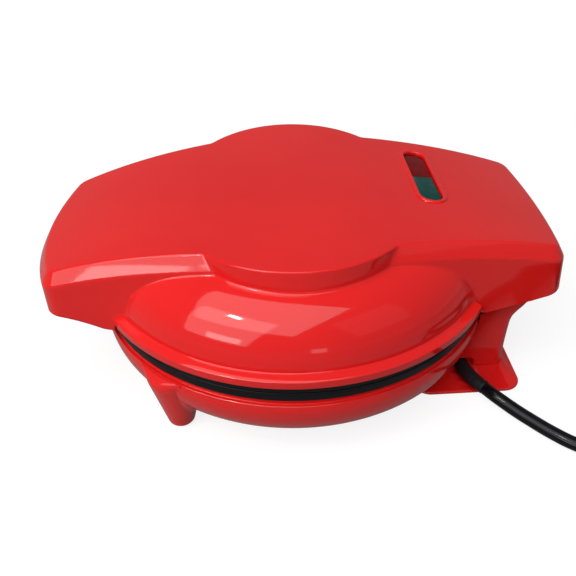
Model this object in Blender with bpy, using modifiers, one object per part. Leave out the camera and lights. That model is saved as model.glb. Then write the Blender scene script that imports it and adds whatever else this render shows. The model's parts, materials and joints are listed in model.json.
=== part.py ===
"""Mini donut maker: a clamshell cooker with two ring-mould plates, in metres, +Z up.

The round body's axis is vertical, the carrying handle points to -Y and the hinge is at +Y.
Heights are measured from the table. Plan measures are taken from the round body's axis, which
the frame empty carries to its place, so that the whole object is centred on the origin.
"""
import bpy
import bmesh
from math import asin, atan2, cos, pi, radians, sin, sqrt
from mathutils import Matrix, Vector

# Whole object
LIP_RADIUS = 0.1030
FRONT_OVERHANG = 0.0250
REAR_OVERHANG = 0.0273
LIP_Z = 0.0500
CROWN_Z = 0.0920
WALL = 0.0022
GAP = 0.0003
OVERRUN = 0.0200
MERGE_DISTANCE = 0.00001

# Arched band of the lid
FRONT_DROP = 0.0192
REAR_DROP = 0.0154
SQUARE_DROP_SHARE = 0.53
BAND_HALF_AT_BULGE = 0.0575
BAND_HALF_FRONT = 0.0444
BAND_HALF_REAR = 0.0440
FRONT_ARC_RADIUS = 0.1180
REAR_ARC_RADIUS = 0.3300
CORNER_RADIUS = 0.0055
CHAMFER_OUT = 0.0040
CHAMFER_DROP = 0.0068
REAR_DRAFT = 0.0015

# Lower edge of the band, lowest beside the round body
FRONT_HEM_INSET = 0.0087
FRONT_HEM_LENGTH = 0.0266
FRONT_HEM_RISE = 0.0035
FRONT_HEM_DROP = 0.0064
FRONT_HEM_POWER = 1.65
REAR_HEM_LENGTH = 0.0402
REAR_HEM_RISE = 0.0029
REAR_HEM_DROP = 0.0059
REAR_HEM_POWER = 0.75

# Round bulges at the middle of the band
BULGE_REACH = 0.0773
BULGE_RADIUS = 0.0559
BULGE_DRAFT = 0.0003

# Dome of the lid
LIP_WIDTH = 0.0044
DOME_FLAT_RADIUS = 0.0680
BAND_PROUD = 0.0094
FLARE_TOP = 0.0055
LIP_HEIGHT = 0.0038
FLARE_SHARES = ((0.18, 0.80), (0.68, 0.42), (0.91, 0.18), (1.0, 0.0))

# Base bowl
BOWL_INSET = 0.0020
BOWL_FLAT_RADIUS = 0.0620
BOWL_FLOOR_Z = 0.0060
BOWL_TURN_DROP = 0.0077
BOWL_POWER = 2.3
BOWL_HOLE_RADIUS = 0.0500
BOWL_NECK_STEP = 0.0025

# Front legs and their pads
LEG_INSET = 0.0100
LEG_TURN = radians(-41.7)
LEG_FOOT_RADIUS = 0.0062
LEG_TOP_RADIUS = 0.0140
LEG_TOP_Z = 0.0270
LEG_FOOT_Z = 0.0008
PAD_RADIUS = 0.0042
PAD_DEPTH = 0.0018

# Cooking plates, mirrored about the plane where they meet
PLATE_DROP = 0.0053
PLATE_INSET = 0.0032
PLATE_THICKNESS = 0.0048
PLATE_WALL = 0.0022
DONUT_COUNT = 6
DONUT_MARGIN = 0.0096
DONUT_SPACING = 0.0026
DONUT_PIN_RADIUS = 0.0080
PLATE_BOSS_COUNT = 3
PLATE_BOSS_INSET = 0.0055
PLATE_BOSS_RADIUS = 0.0040

# Heating elements
ELEMENT_RADIUS = 0.0032
ELEMENT_OPEN_ANGLE = radians(44.0)
ELEMENT_TAIL = 0.0120
ELEMENT_BEND = 0.0040

# Heat shields
SHIELD_INSET = 0.0093
SHIELD_THICKNESS = 0.0007
SHIELD_RIM = 0.0040
SHIELD_SLOT_RADIUS = 0.0060

# Bosses that carry the shields
SHIELD_BOSS_COUNT = 3
SHIELD_BOSS_CIRCLE_RADIUS = 0.0600
SHIELD_BOSS_RADIUS = 0.0045
SHIELD_BOSS_TURN = radians(-90.0)

# Screws
SCREW_HEAD_RADIUS = 0.0031
SCREW_HEAD_HEIGHT = 0.0020
SCREW_RADIUS = 0.0014
SCREW_LENGTH = 0.0060

# Lid liner
LINER_THICKNESS = 0.0016
LINER_RING_WIDTH = 0.0036
LINER_LAP = 0.0230
LINER_RAMP_START = 0.0096
LINER_RAMP_END = -0.0020
LINER_RISE = 0.0046
HANDLE_BOSS_X = 0.0220
HANDLE_BOSS_INSET = 0.0155
HANDLE_BOSS_RADIUS = 0.0040

# Window and indicator lamps
WINDOW_X = -0.0116
WINDOW_INSET = 0.0619
WINDOW_LENGTH = 0.0548
WINDOW_WIDTH = 0.0114
WINDOW_RIM = 0.0024
WINDOW_RIM_HEIGHT = 0.0009
LENS_SINK = 0.0016
LENS_THICKNESS = 0.0030
LAMP_RADIUS = 0.0026
LAMP_LENGTH = 0.0130
HOLDER_DEPTH = 0.0090
HOLDER_WALL = 0.0012

# Hinge
HINGE_OUT = 0.0110
HINGE_RISE = 0.0020
PIN_RADIUS = 0.0025
PIN_CLEARANCE = 0.0003
BARREL_RADIUS = 0.0068
LUG_WIDTH = 0.0102
LUG_RADIUS = 0.0064
LUG_DEPTH = 0.0120
SIDE_CLEARANCE = 0.0005

# Rear stand
STAND_MARGIN = 0.0005
STAND_OUT = 0.0050
STAND_FLARE = 0.0090
STAND_COVER_GAP = 0.0020
STAND_TOP_DROP = 0.0030
STAND_CORNER_RADIUS = 0.0050
STAND_WALL = 0.0024
STAND_EAR = 0.0032
POST_RADIUS = 0.0040
POST_SIDE_INSET = 0.0165
POST_REAR_INSET = 0.0060
POST_HEIGHT = 0.0260
POCKET_FRONT = 0.0050
POCKET_REAR = 0.0067
STAND_REAR_SHARES = ((1.0, 1.0), (0.9, 0.70), (0.8, 0.33), (0.72, 0.14), (0.6, 0.05), (0.2, 0.0), (0.0, 0.06))

# Foot under the stand
FOOT_SIDE_OUT = 0.0165
FOOT_REAR_OUT = 0.0062
FOOT_FRONT_OUT = 0.0100
FOOT_EDGE = 0.0020
FOOT_HEIGHT = 0.0042
FOOT_CORNER_RADIUS = 0.0080
FOOT_SHOULDER = 0.0010
CHANNEL_FLOOR = 0.0012
CHANNEL_FRONT = 0.0055
CHANNEL_REAR = 0.0190

# Parts under the bowl
COVER_LAP = 0.0060
COVER_THICKNESS = 0.0020
VENT_COUNT = 5
VENT_Y = -0.0200
VENT_LENGTH = 0.0360
VENT_WIDTH = 0.0036
VENT_PITCH = 0.0085

# Controls inside the base
THERMOSTAT_RADIUS = 0.0080
THERMOSTAT_HEIGHT = 0.0060
THERMOSTAT_Y = -0.0180
FUSE_RADIUS = 0.0020
FUSE_LENGTH = 0.0140
FUSE_X = 0.0260
FUSE_Y = -0.0100
BLOCK_LENGTH = 0.0260
BLOCK_DEPTH = 0.0120
BLOCK_HEIGHT = 0.0100
BLOCK_Y = 0.0380
LEAD_RADIUS = 0.0011
LID_LEAD_BEND = 0.0060
LEAD_HOLE_INSET = 0.0235
LEAD_HOLE_Z = 0.0120
LEAD_HOLE_RADIUS = 0.0050

# Clamp on the leads where they come in
CLAMP_INSET = 0.0084
CLAMP_LENGTH = 0.0034
CLAMP_FRONT_Y = 0.0835
CLAMP_DEPTH = 0.0064
CLAMP_HEIGHT = 0.0058

# Routes of the inner leads
LIVE_ROUTE = (
    (0.0399, 0.0880, 0.0088), (0.0335, 0.0880, 0.0088), (0.0280, 0.0920, 0.0100), (0.0230, 0.0930, 0.0112),
    (0.0196, 0.0912, 0.0118), (0.0179, 0.0870, 0.0120), (0.0178, 0.0780, 0.0120), (0.0125, 0.0660, 0.0120),
    (0.0055, 0.0550, 0.0120), (0.0030, 0.0485, 0.0116), (0.0020, 0.0443, 0.0110),
)
NEUTRAL_ROUTE = (
    (0.0399, 0.0854, 0.0088), (0.0335, 0.0854, 0.0088), (0.0280, 0.0892, 0.0100), (0.0240, 0.0894, 0.0112),
    (0.0217, 0.0870, 0.0118), (0.0213, 0.0800, 0.0120), (0.0200, 0.0720, 0.0120), (0.0150, 0.0600, 0.0120),
    (0.0095, 0.0505, 0.0118), (0.0080, 0.0443, 0.0110),
)
ELEMENT_ROUTE = (
    (0.0133, 0.0380, 0.0110), (0.0158, 0.0382, 0.0112), (0.0163, 0.0398, 0.0130), (0.0147, 0.0409, 0.0152),
)
CONTROL_ROUTE = (
    (0.0000, 0.0317, 0.0110), (0.0000, 0.0240, 0.0120), (0.0000, 0.0080, 0.0160),
    (0.0000, -0.0040, 0.0200), (0.0000, -0.0096, 0.0215),
)
FUSE_ROUTE = (
    (0.0084, -0.0160, 0.0220), (0.0125, -0.0122, 0.0226), (0.0165, -0.0101, 0.0230), (0.0187, -0.0100, 0.0230),
)
RETURN_ROUTE = (
    (0.0333, -0.0100, 0.0230), (0.0352, -0.0099, 0.0229), (0.0380, -0.0070, 0.0215), (0.0390, 0.0040, 0.0170),
    (0.0310, 0.0220, 0.0130), (0.0190, 0.0320, 0.0115), (0.0133, 0.0343, 0.0110),
)

# Mains cord
CORD_RADIUS = 0.0033
RELIEF_START_RADIUS = 0.0041
RELIEF_END_SHARE = 0.9
RELIEF_ROUTE = (
    (0.0405, 0.0850, 0.0060), (0.0450, 0.0856, 0.0060), (0.0500, 0.0868, 0.0059),
    (0.0545, 0.0884, 0.0057), (0.0590, 0.0906, 0.0055), (0.0630, 0.0931, 0.0052),
)
CORD_ROUTE = (
    (0.0740, 0.1011, 0.0042), (0.0792, 0.1052, 0.0038), (0.0850, 0.1100, 0.0036), (0.0925, 0.1163, 0.0036),
    (0.1002, 0.1240, 0.0037), (0.1066, 0.1334, 0.0039), (0.1112, 0.1444, 0.0041), (0.1143, 0.1570, 0.0043),
)
COIL_X = 0.0776
COIL_Y = 0.1845
COIL_RADIUS = 0.0335
COIL_GAP = 0.0007
COIL_TURNS_IN = 1.0
COIL_TURNS_OUT = 1.31
COIL_CLIMB_TURNS = 0.5
COIL_START_ANGLE = radians(-12.0)
COIL_DROP_TURNS = 0.12
COIL_POINTS = 24
TIE_WIDTH = 0.0060
TIE_THICKNESS = 0.0008
TIE_ANGLE = radians(205.0)
PLUG_LENGTH = 0.0320
PLUG_WIDTH = 0.0250
PLUG_DEPTH = 0.0180
PLUG_TAIL_WIDTH = 0.0120
PLUG_TAIL_DEPTH = 0.0110
PLUG_TAPER_LENGTH = 0.0150
PLUG_CORNER_RADIUS = 0.0040
PLUG_NECK_LENGTH = 0.0140
PLUG_NECK_RADIUS = 0.0048
BLADE_LENGTH = 0.0170
BLADE_ROOT = 0.0060
BLADE_WIDTH = 0.0063
BLADE_THICKNESS = 0.0015
BLADE_SPACING = 0.0127

# Facet counts
ROUND_STEPS = 54
INNER_ROUND_STEPS = 40
SMALL_STEPS = 12
TINY_STEPS = 8
DOME_STEPS = 7
INNER_DOME_STEPS = 4
ARC_STEPS = 5
CORNER_STEPS = 3
SIDE_STEPS = 6
BULGE_STEPS = 12
LEAD_STEPS = 2
DONUT_STEPS = 14
DONUT_BACK_STEPS = 10
DONUT_TUBE_STEPS = 8
LOOP_POINTS = 20

# Places worked out from the sizes above
FRONT_REACH = LIP_RADIUS + FRONT_OVERHANG
REAR_REACH = LIP_RADIUS + REAR_OVERHANG
AXIS_Y = (FRONT_REACH - REAR_REACH - REAR_DRAFT) / 2
DOME_RADIUS = LIP_RADIUS - LIP_WIDTH
DOME_TOP_Z = CROWN_Z - BAND_PROUD
DOME_FOOT_Z = LIP_Z + FLARE_TOP
PLATE_PLANE_Z = LIP_Z - PLATE_DROP
PLATE_RADIUS = LIP_RADIUS - PLATE_INSET
BOWL_RADIUS = LIP_RADIUS - BOWL_INSET
BOWL_NECK_RADIUS = BOWL_RADIUS - BOWL_NECK_STEP
BOWL_TURN_Z = PLATE_PLANE_Z - BOWL_TURN_DROP
LEG_X = (BOWL_RADIUS - LEG_INSET) * cos(LEG_TURN)
LEG_Y = (BOWL_RADIUS - LEG_INSET) * sin(LEG_TURN)
DONUT_CIRCLE_RADIUS = (2 * (PLATE_RADIUS - DONUT_MARGIN) + DONUT_SPACING) / 3
DONUT_HALF = (DONUT_CIRCLE_RADIUS - DONUT_SPACING) / 2 - PLATE_WALL
DONUT_RING_RADIUS = (DONUT_HALF + DONUT_PIN_RADIUS) / 2
DONUT_TUBE_RADIUS = (DONUT_HALF - DONUT_PIN_RADIUS) / 2
ELEMENT_RING_RADIUS = DONUT_CIRCLE_RADIUS - DONUT_RING_RADIUS
SHIELD_RADIUS = PLATE_RADIUS - SHIELD_INSET
PLATE_BOSS_CIRCLE_RADIUS = SHIELD_RADIUS - PLATE_BOSS_INSET
COVER_RADIUS = SHIELD_BOSS_CIRCLE_RADIUS + COVER_LAP
LINER_EDGE_RADIUS = DOME_RADIUS - WALL - GAP
LINER_HOLE_RADIUS = LINER_EDGE_RADIUS - LINER_RING_WIDTH
HANDLE_BOSS_Y = HANDLE_BOSS_INSET - FRONT_REACH
WINDOW_Y = REAR_REACH - WINDOW_INSET
HINGE_Y = LIP_RADIUS + HINGE_OUT
HINGE_Z = LIP_Z + HINGE_RISE
STAND_HALF = BAND_HALF_REAR + STAND_MARGIN
STAND_REAR_Y = LIP_RADIUS + STAND_OUT
STAND_FRONT_Y = COVER_RADIUS + STAND_COVER_GAP
STAND_TOP_Z = LIP_Z - STAND_TOP_DROP
BARREL_HALF = STAND_HALF - STAND_EAR - LUG_WIDTH - 2 * SIDE_CLEARANCE
POST_X = STAND_HALF - POST_SIDE_INSET
POST_Y = STAND_REAR_Y - POST_REAR_INSET
LEAD_HOLE_X = STAND_HALF - LEAD_HOLE_INSET
CLAMP_X = STAND_HALF - CLAMP_INSET
FOOT_HALF = STAND_HALF + FOOT_SIDE_OUT
FOOT_REAR_Y = STAND_REAR_Y + FOOT_REAR_OUT
FOOT_FRONT_Y = STAND_FRONT_Y - FOOT_FRONT_OUT
PLATE_BACK = PLATE_THICKNESS + GAP / 2
BOWL_TOP_Z = PLATE_PLANE_Z - PLATE_BACK - GAP
DONUT_BACK = DONUT_TUBE_RADIUS + PLATE_WALL
ELEMENT_RISE = DONUT_BACK + GAP + ELEMENT_RADIUS
SHIELD_RISE = ELEMENT_RISE + ELEMENT_RADIUS + GAP
SHIELD_BACK = SHIELD_RISE + SHIELD_THICKNESS
LINER_Z = PLATE_PLANE_Z + PLATE_BACK + GAP
COVER_TOP_Z = BOWL_FLOOR_Z - GAP
STAND_Z = FOOT_HEIGHT + GAP
COIL_PITCH = 2 * CORD_RADIUS + COIL_GAP
COIL_Z = TIE_THICKNESS + GAP + CORD_RADIUS
JUNCTION_Y = sqrt(BULGE_RADIUS ** 2 - (BAND_HALF_AT_BULGE - BULGE_REACH + BULGE_RADIUS) ** 2)
TOP_FRONT_Y = -(FRONT_REACH - CHAMFER_OUT)
TOP_REAR_Y = REAR_REACH - CHAMFER_OUT
FRONT_HEM_Y = FRONT_REACH - FRONT_HEM_INSET
FRONT_HEM = (FRONT_HEM_Y, FRONT_HEM_LENGTH, FRONT_HEM_RISE, FRONT_HEM_DROP, FRONT_HEM_POWER)
REAR_HEM = (TOP_REAR_Y, REAR_HEM_LENGTH, REAR_HEM_RISE, REAR_HEM_DROP, REAR_HEM_POWER)
LID_PIVOT = Vector((0, HINGE_Y, HINGE_Z))


def clear_scene():
    for old in list(bpy.data.objects):
        bpy.data.objects.remove(old, do_unlink=True)


def collection(name):
    made = bpy.data.collections.new(name)
    bpy.context.scene.collection.children.link(made)
    return made


clear_scene()
PARTS = collection("mini_donut_maker")
CUTTERS = collection("cutters")


def empty(name, place, parent=None):
    """An empty that carries pieces: the whole frame, or the lid at its hinge axis."""
    made = bpy.data.objects.new(name, None)
    PARTS.objects.link(made)
    made.location = place
    made.parent = parent
    return made


FRAME = empty("frame", (0, AXIS_Y, 0))
LID = empty("lid_pivot", LID_PIVOT, FRAME)


def material(name, colour, roughness, metallic=0.0):
    made = bpy.data.materials.new(name)
    made.use_nodes = True
    shader = made.node_tree.nodes["Principled BSDF"]
    shader.inputs["Base Color"].default_value = (*colour, 1.0)
    shader.inputs["Roughness"].default_value = roughness
    shader.inputs["Metallic"].default_value = metallic
    return made


FINISHES = {
    "red_gloss": ((0.72, 0.02, 0.025), 0.2, 0.0),
    "black_coat": ((0.012, 0.012, 0.014), 0.35, 0.0),
    "steel": ((0.55, 0.55, 0.56), 0.35, 1.0),
    "black_rubber": ((0.01, 0.01, 0.012), 0.4, 0.0),
    "green_lens": ((0.0, 0.07, 0.05), 0.1, 0.0),
    "red_lens": ((0.2, 0.005, 0.003), 0.1, 0.0),
    "white_plastic": ((0.7, 0.68, 0.62), 0.5, 0.0),
    "brass": ((0.7, 0.5, 0.2), 0.35, 1.0),
}


def keep(piece, name, finish, on_lid=False):
    """Name a finished solid, give it its material and hang it on the frame or on the lid."""
    piece.name = name
    piece.data.name = name
    piece.data.materials.clear()
    piece.data.materials.append(material(name, *FINISHES[finish]))
    for held in list(piece.users_collection):
        held.objects.unlink(piece)
    PARTS.objects.link(piece)
    piece.parent = LID if on_lid else FRAME
    if on_lid:
        piece.location = piece.location - LID_PIVOT
    return piece


def as_cutter(piece):
    for held in list(piece.users_collection):
        held.objects.unlink(piece)
    CUTTERS.objects.link(piece)
    piece.hide_render = True
    piece.display_type = "WIRE"
    return piece


def mesh_object(name, points, faces):
    mesh = bpy.data.meshes.new(name)
    mesh.from_pydata([tuple(p) for p in points], [], faces)
    mesh.update()
    made = bpy.data.objects.new(name, mesh)
    bpy.context.scene.collection.objects.link(made)
    return made


def evaluated(piece):
    """The piece's mesh with its modifiers and its place in it."""
    bpy.context.view_layer.update()
    shape = piece.evaluated_get(bpy.context.evaluated_depsgraph_get())
    mesh = bpy.data.meshes.new_from_object(shape)
    mesh.transform(piece.matrix_world)
    return mesh


def swapped(piece, mesh):
    """A new object for a worked-out mesh, in place of the piece it came from."""
    made = bpy.data.objects.new(piece.name, mesh)
    bpy.context.scene.collection.objects.link(made)
    bpy.data.objects.remove(piece, do_unlink=True)
    return made


def applied(piece):
    return swapped(piece, evaluated(piece))


def is_closed(mesh):
    faces = bmesh.new()
    faces.from_mesh(mesh)
    closed = all(edge.is_manifold for edge in faces.edges)
    faces.free()
    return closed


def boolean(piece, other, operation):
    """Cut or join two closed solids, and drop the second one.

    EXACT leaves an edge open on some thin or tilted walls, and MANIFOLD makes those.
    """
    as_cutter(other)
    step = piece.modifiers.new(operation.lower(), "BOOLEAN")
    step.operation = operation
    step.solver = "EXACT"
    step.object = other
    mesh = evaluated(piece)
    if not is_closed(mesh):
        step.solver = "MANIFOLD"
        mesh = evaluated(piece)
    made = swapped(piece, mesh)
    bpy.data.objects.remove(other, do_unlink=True)
    return made


def cut(piece, *others):
    for other in others:
        piece = boolean(piece, other, "DIFFERENCE")
    return piece


def join(piece, *others):
    for other in others:
        piece = boolean(piece, other, "UNION")
    return piece


def keep_each(pieces, name, finish, on_lid=False):
    """Alike pieces as numbered nodes."""
    for number, piece in enumerate(pieces, 1):
        keep(piece, f"{name}_{number}", finish, on_lid)


def cylinder(radius, low, high, x=0, y=0, steps=SMALL_STEPS, top_radius=None):
    """An upright round bar or cone from height low to height high."""
    end_radius = radius if top_radius is None else top_radius
    bpy.ops.mesh.primitive_cone_add(vertices=steps, radius1=radius, radius2=end_radius,
                                    depth=high - low, location=(x, y, (low + high) / 2))
    return applied(bpy.context.object)


def cross_bar(radius, low_x, high_x, y, z, steps=SMALL_STEPS):
    """A round bar along X."""
    bpy.ops.mesh.primitive_cylinder_add(vertices=steps, radius=radius, depth=high_x - low_x,
                                        location=((low_x + high_x) / 2, y, z), rotation=(0, pi / 2, 0))
    return applied(bpy.context.object)


def box(low, high):
    low, high = Vector(low), Vector(high)
    bpy.ops.mesh.primitive_cube_add(size=1, location=(low + high) / 2)
    made = bpy.context.object
    made.scale = high - low
    return applied(made)


def turned(profile, steps=ROUND_STEPS):
    """A solid of revolution about Z. The profile of (radius, height) runs down its outer side."""
    mesh = bpy.data.meshes.new("profile")
    closed = profile[0][0] > 0 and profile[-1][0] > 0
    edges = [(i, i + 1) for i in range(len(profile) - 1)]
    if closed:
        edges.append((len(profile) - 1, 0))
    mesh.from_pydata([(r, 0, z) for r, z in profile], edges, [])
    made = bpy.data.objects.new("turned", mesh)
    bpy.context.scene.collection.objects.link(made)
    screw = made.modifiers.new("turn", "SCREW")
    screw.steps = steps
    screw.render_steps = steps
    screw.use_merge_vertices = True
    screw.merge_threshold = MERGE_DISTANCE
    return applied(made)


def rings_solid(rings):
    """A closed loft through rings of equal counts, each running front to rear on +X and back on -X."""
    count = len(rings[0])
    half = count // 2
    points = [p for ring in rings for p in ring]
    faces = []
    for level in range(len(rings) - 1):
        here, below = level * count, (level + 1) * count
        for i in range(count):
            after = (i + 1) % count
            faces.append((here + i, here + after, below + after, below + i)[::-1])
    for base, turn in ((0, 1), ((len(rings) - 1) * count, -1)):
        for i in range(half):
            row = (base + i, base + i + 1, base + (count - i - 1) % count, base + (count - i) % count)
            row = tuple(dict.fromkeys(row))
            faces.append(row[::turn])
    return mesh_object("loft", points, faces)


def arc(centre, radius, start, end, steps):
    return [(centre[0] + radius * cos(start + (end - start) * i / steps),
             centre[1] + radius * sin(start + (end - start) * i / steps)) for i in range(steps + 1)]


def end_of_band(end_y, arc_radius, half, out_band):
    """One end of the band's outline for x >= 0: its end arc, its corner and its side line.

    end_y is the apex on the axis, negative at the front. The points run from the apex to the
    corner's last point, and the side line comes back as a point and a direction.
    """
    way = 1 if end_y > 0 else -1
    centre = Vector((0, end_y - way * arc_radius))
    start = Vector((half, centre.y + way * sqrt(arc_radius ** 2 - half ** 2)))
    finish = Vector((BAND_HALF_AT_BULGE, way * JUNCTION_Y))
    along = (finish - start).normalized()
    normal = Vector((way * -along.y, way * along.x))
    inner = start - normal * CORNER_RADIUS
    middle = inner - centre
    reach = arc_radius - CORNER_RADIUS
    b = middle.dot(along)
    t = -b - sqrt(b * b - middle.length_squared + reach ** 2)
    if (inner + along * t - centre).y * way < 0:
        t = -b + sqrt(b * b - middle.length_squared + reach ** 2)
    corner = inner + along * t
    swing = atan2(corner.y - centre.y, corner.x - centre.x)
    side = atan2(normal.y, normal.x)
    points = arc(centre, arc_radius + out_band, way * pi / 2, swing, ARC_STEPS)
    points += arc(corner, CORNER_RADIUS + out_band, swing, side, CORNER_STEPS)[1:]
    return points, start + normal * out_band, along


def junction(point, along, radius, way):
    """Where a side line meets the bulge's circle."""
    centre = Vector((BULGE_REACH - BULGE_RADIUS, 0))
    middle = point - centre
    b = middle.dot(along)
    t = -b - sqrt(b * b - middle.length_squared + radius ** 2)
    return point + along * t


def half_outline(out_band=0.0, out_bulge=0.0):
    """The plan outline of band and bulge for x >= 0, front apex to rear apex."""
    front, point_f, along_f = end_of_band(TOP_FRONT_Y, FRONT_ARC_RADIUS, BAND_HALF_FRONT, out_band)
    rear, point_r, along_r = end_of_band(TOP_REAR_Y, REAR_ARC_RADIUS, BAND_HALF_REAR, out_band)
    radius = BULGE_RADIUS + out_bulge
    meet_f = junction(point_f, along_f, radius, -1)
    meet_r = junction(point_r, along_r, radius, 1)

    def side(start, finish):
        start, finish = Vector(start), Vector(finish)
        return [tuple(start.lerp(finish, i / SIDE_STEPS)) for i in range(1, SIDE_STEPS + 1)]

    centre = (BULGE_REACH - BULGE_RADIUS, 0)
    angle_f = atan2(meet_f.y, meet_f.x - centre[0])
    angle_r = atan2(meet_r.y, meet_r.x - centre[0])
    points = front + side(front[-1], meet_f)
    points += arc(centre, radius, angle_f, angle_r, BULGE_STEPS)[1:]
    return points + side(rear[-1], meet_r)[:-1][::-1] + rear[::-1]


def top_z(y):
    """Height of the arched top: the crown less a drop that grows with the square and cube of y."""
    share = y / TOP_REAR_Y if y > 0 else y / TOP_FRONT_Y
    drop = REAR_DROP if y > 0 else FRONT_DROP
    return CROWN_Z - drop * (SQUARE_DROP_SHARE * share ** 2 + (1 - SQUARE_DROP_SHARE) * share ** 3)


def hem_z(y):
    """Height of the band's lower edge, which climbs from beside the round body to each end."""
    reach, length, rise, drop, power = FRONT_HEM
    if y > 0:
        reach, length, rise, drop, power = REAR_HEM
    share = min(1.0, max(0.0, (reach - abs(y)) / length))
    return LIP_Z + rise - drop * share ** power


def drafted(half):
    """The outline with its hinge end drawn out, more the nearer the end."""
    return [(x, y + REAR_DRAFT * max(0.0, y) / TOP_REAR_Y) for x, y in half]


def full_ring(half, heights):
    right = [(x, y, z) for (x, y), z in zip(half, heights)]
    left = [(-x, y, z) for x, y, z in right[1:-1]][::-1]
    return right + left


def band_solid(inset, lower):
    """The band with its bulges: arched top, chamfer, side walls. inset is a wall's thickness, or 0."""
    top_half = half_outline()
    tops = [top_z(y) for _, y in top_half]
    fold_drop = CHAMFER_DROP + inset / 2
    top_out = -inset
    if inset:
        top_out = CHAMFER_OUT - inset - CHAMFER_OUT * (fold_drop - inset) / CHAMFER_DROP
    fold = half_outline(CHAMFER_OUT - inset, BULGE_DRAFT - inset)
    upper = full_ring(half_outline(top_out, -inset), [z - inset for z in tops])
    middle = full_ring(fold, [z - fold_drop for z in tops])
    bottom = full_ring(drafted(fold), [hem_z(y) - lower for _, y in fold])
    return rings_solid([upper, middle, bottom])


def dome_profile(inset, lower, steps=DOME_STEPS):
    """The dome's outer side: flat, a quarter ellipse, the flare and the lip, down to lower."""
    wide = DOME_RADIUS - inset - DOME_FLAT_RADIUS
    tall = DOME_TOP_Z - inset - DOME_FOOT_Z
    turn = [pi / 2 * i / steps for i in range(steps + 1)]
    profile = [(0, DOME_TOP_Z - inset)]
    profile += [(DOME_FLAT_RADIUS + wide * sin(a), DOME_FOOT_Z + tall * cos(a)) for a in turn]
    shoulder = LIP_Z + LIP_HEIGHT - inset
    flare = LIP_RADIUS - DOME_RADIUS
    profile += [(DOME_RADIUS - inset + flare * a, shoulder + (DOME_FOOT_Z - shoulder) * b)
                for a, b in FLARE_SHARES]
    return profile + [(LIP_RADIUS - inset, lower), (0, lower)]


def donut_places():
    spots = [(0, 0)]
    for i in range(DONUT_COUNT):
        turn = 2 * pi * i / DONUT_COUNT
        spots.append((DONUT_CIRCLE_RADIUS * cos(turn), DONUT_CIRCLE_RADIUS * sin(turn)))
    return spots


def donut(x, y, z, tube, steps=DONUT_STEPS):
    bpy.ops.mesh.primitive_torus_add(major_segments=steps, minor_segments=DONUT_TUBE_STEPS,
                                     major_radius=DONUT_RING_RADIUS, minor_radius=tube, location=(x, y, z))
    return applied(bpy.context.object)


def plate_boss_places():
    step = 2 * pi / PLATE_BOSS_COUNT
    turns = [pi / DONUT_COUNT + step * i for i in range(PLATE_BOSS_COUNT)]
    return [(PLATE_BOSS_CIRCLE_RADIUS * cos(a), PLATE_BOSS_CIRCLE_RADIUS * sin(a)) for a in turns]


def shield_boss_places():
    step = 2 * pi / SHIELD_BOSS_COUNT
    turns = [SHIELD_BOSS_TURN + step * i for i in range(SHIELD_BOSS_COUNT)]
    return [(SHIELD_BOSS_CIRCLE_RADIUS * cos(a), SHIELD_BOSS_CIRCLE_RADIUS * sin(a)) for a in turns]


def flipped(piece):
    """The same solid on the other side of the plane where the plates meet."""
    for vertex in piece.data.vertices:
        vertex.co.z = 2 * PLATE_PLANE_Z - vertex.co.z
    piece.data.flip_normals()
    return piece


def screws(places, seat, into):
    """Round-headed screws at (x, y, height) seats. into is +1 where the shank points up, or -1."""
    made = []
    for x, y, z in places:
        head = (z - into * SCREW_HEAD_HEIGHT, z)
        shank = (z - into * SCREW_HEAD_HEIGHT / 2, z + into * seat)
        made.append(join(cylinder(SCREW_HEAD_RADIUS, min(head), max(head), x, y, TINY_STEPS),
                         cylinder(SCREW_RADIUS, min(shank), max(shank), x, y, TINY_STEPS)))
    return made


def screw_hole(x, y, low, high):
    return cylinder(SCREW_RADIUS + GAP, low, high, x, y, TINY_STEPS)


def stadium(length, width, low, high, place):
    """An upright bar with round ends, long along X, set on a place given as a matrix."""
    radius = width / 2
    straight = length / 2 - radius
    half = [(0, -radius)] + arc((straight, 0), radius, -pi / 2, pi / 2, ARC_STEPS * 2) + [(0, radius)]
    made = rings_solid([full_ring(half, [high] * len(half)), full_ring(half, [low] * len(half))])
    made.data.transform(place)
    return made


def window_place():
    """The window's seat on the arched top, tilted with it."""
    share = WINDOW_Y / TOP_REAR_Y
    steepness = 2 * SQUARE_DROP_SHARE * share + 3 * (1 - SQUARE_DROP_SHARE) * share ** 2
    slope = -REAR_DROP * steepness / TOP_REAR_Y
    seat = Matrix.Translation((WINDOW_X, WINDOW_Y, top_z(WINDOW_Y)))
    return seat @ Matrix.Rotation(atan2(slope, 1), 4, "X")


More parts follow.
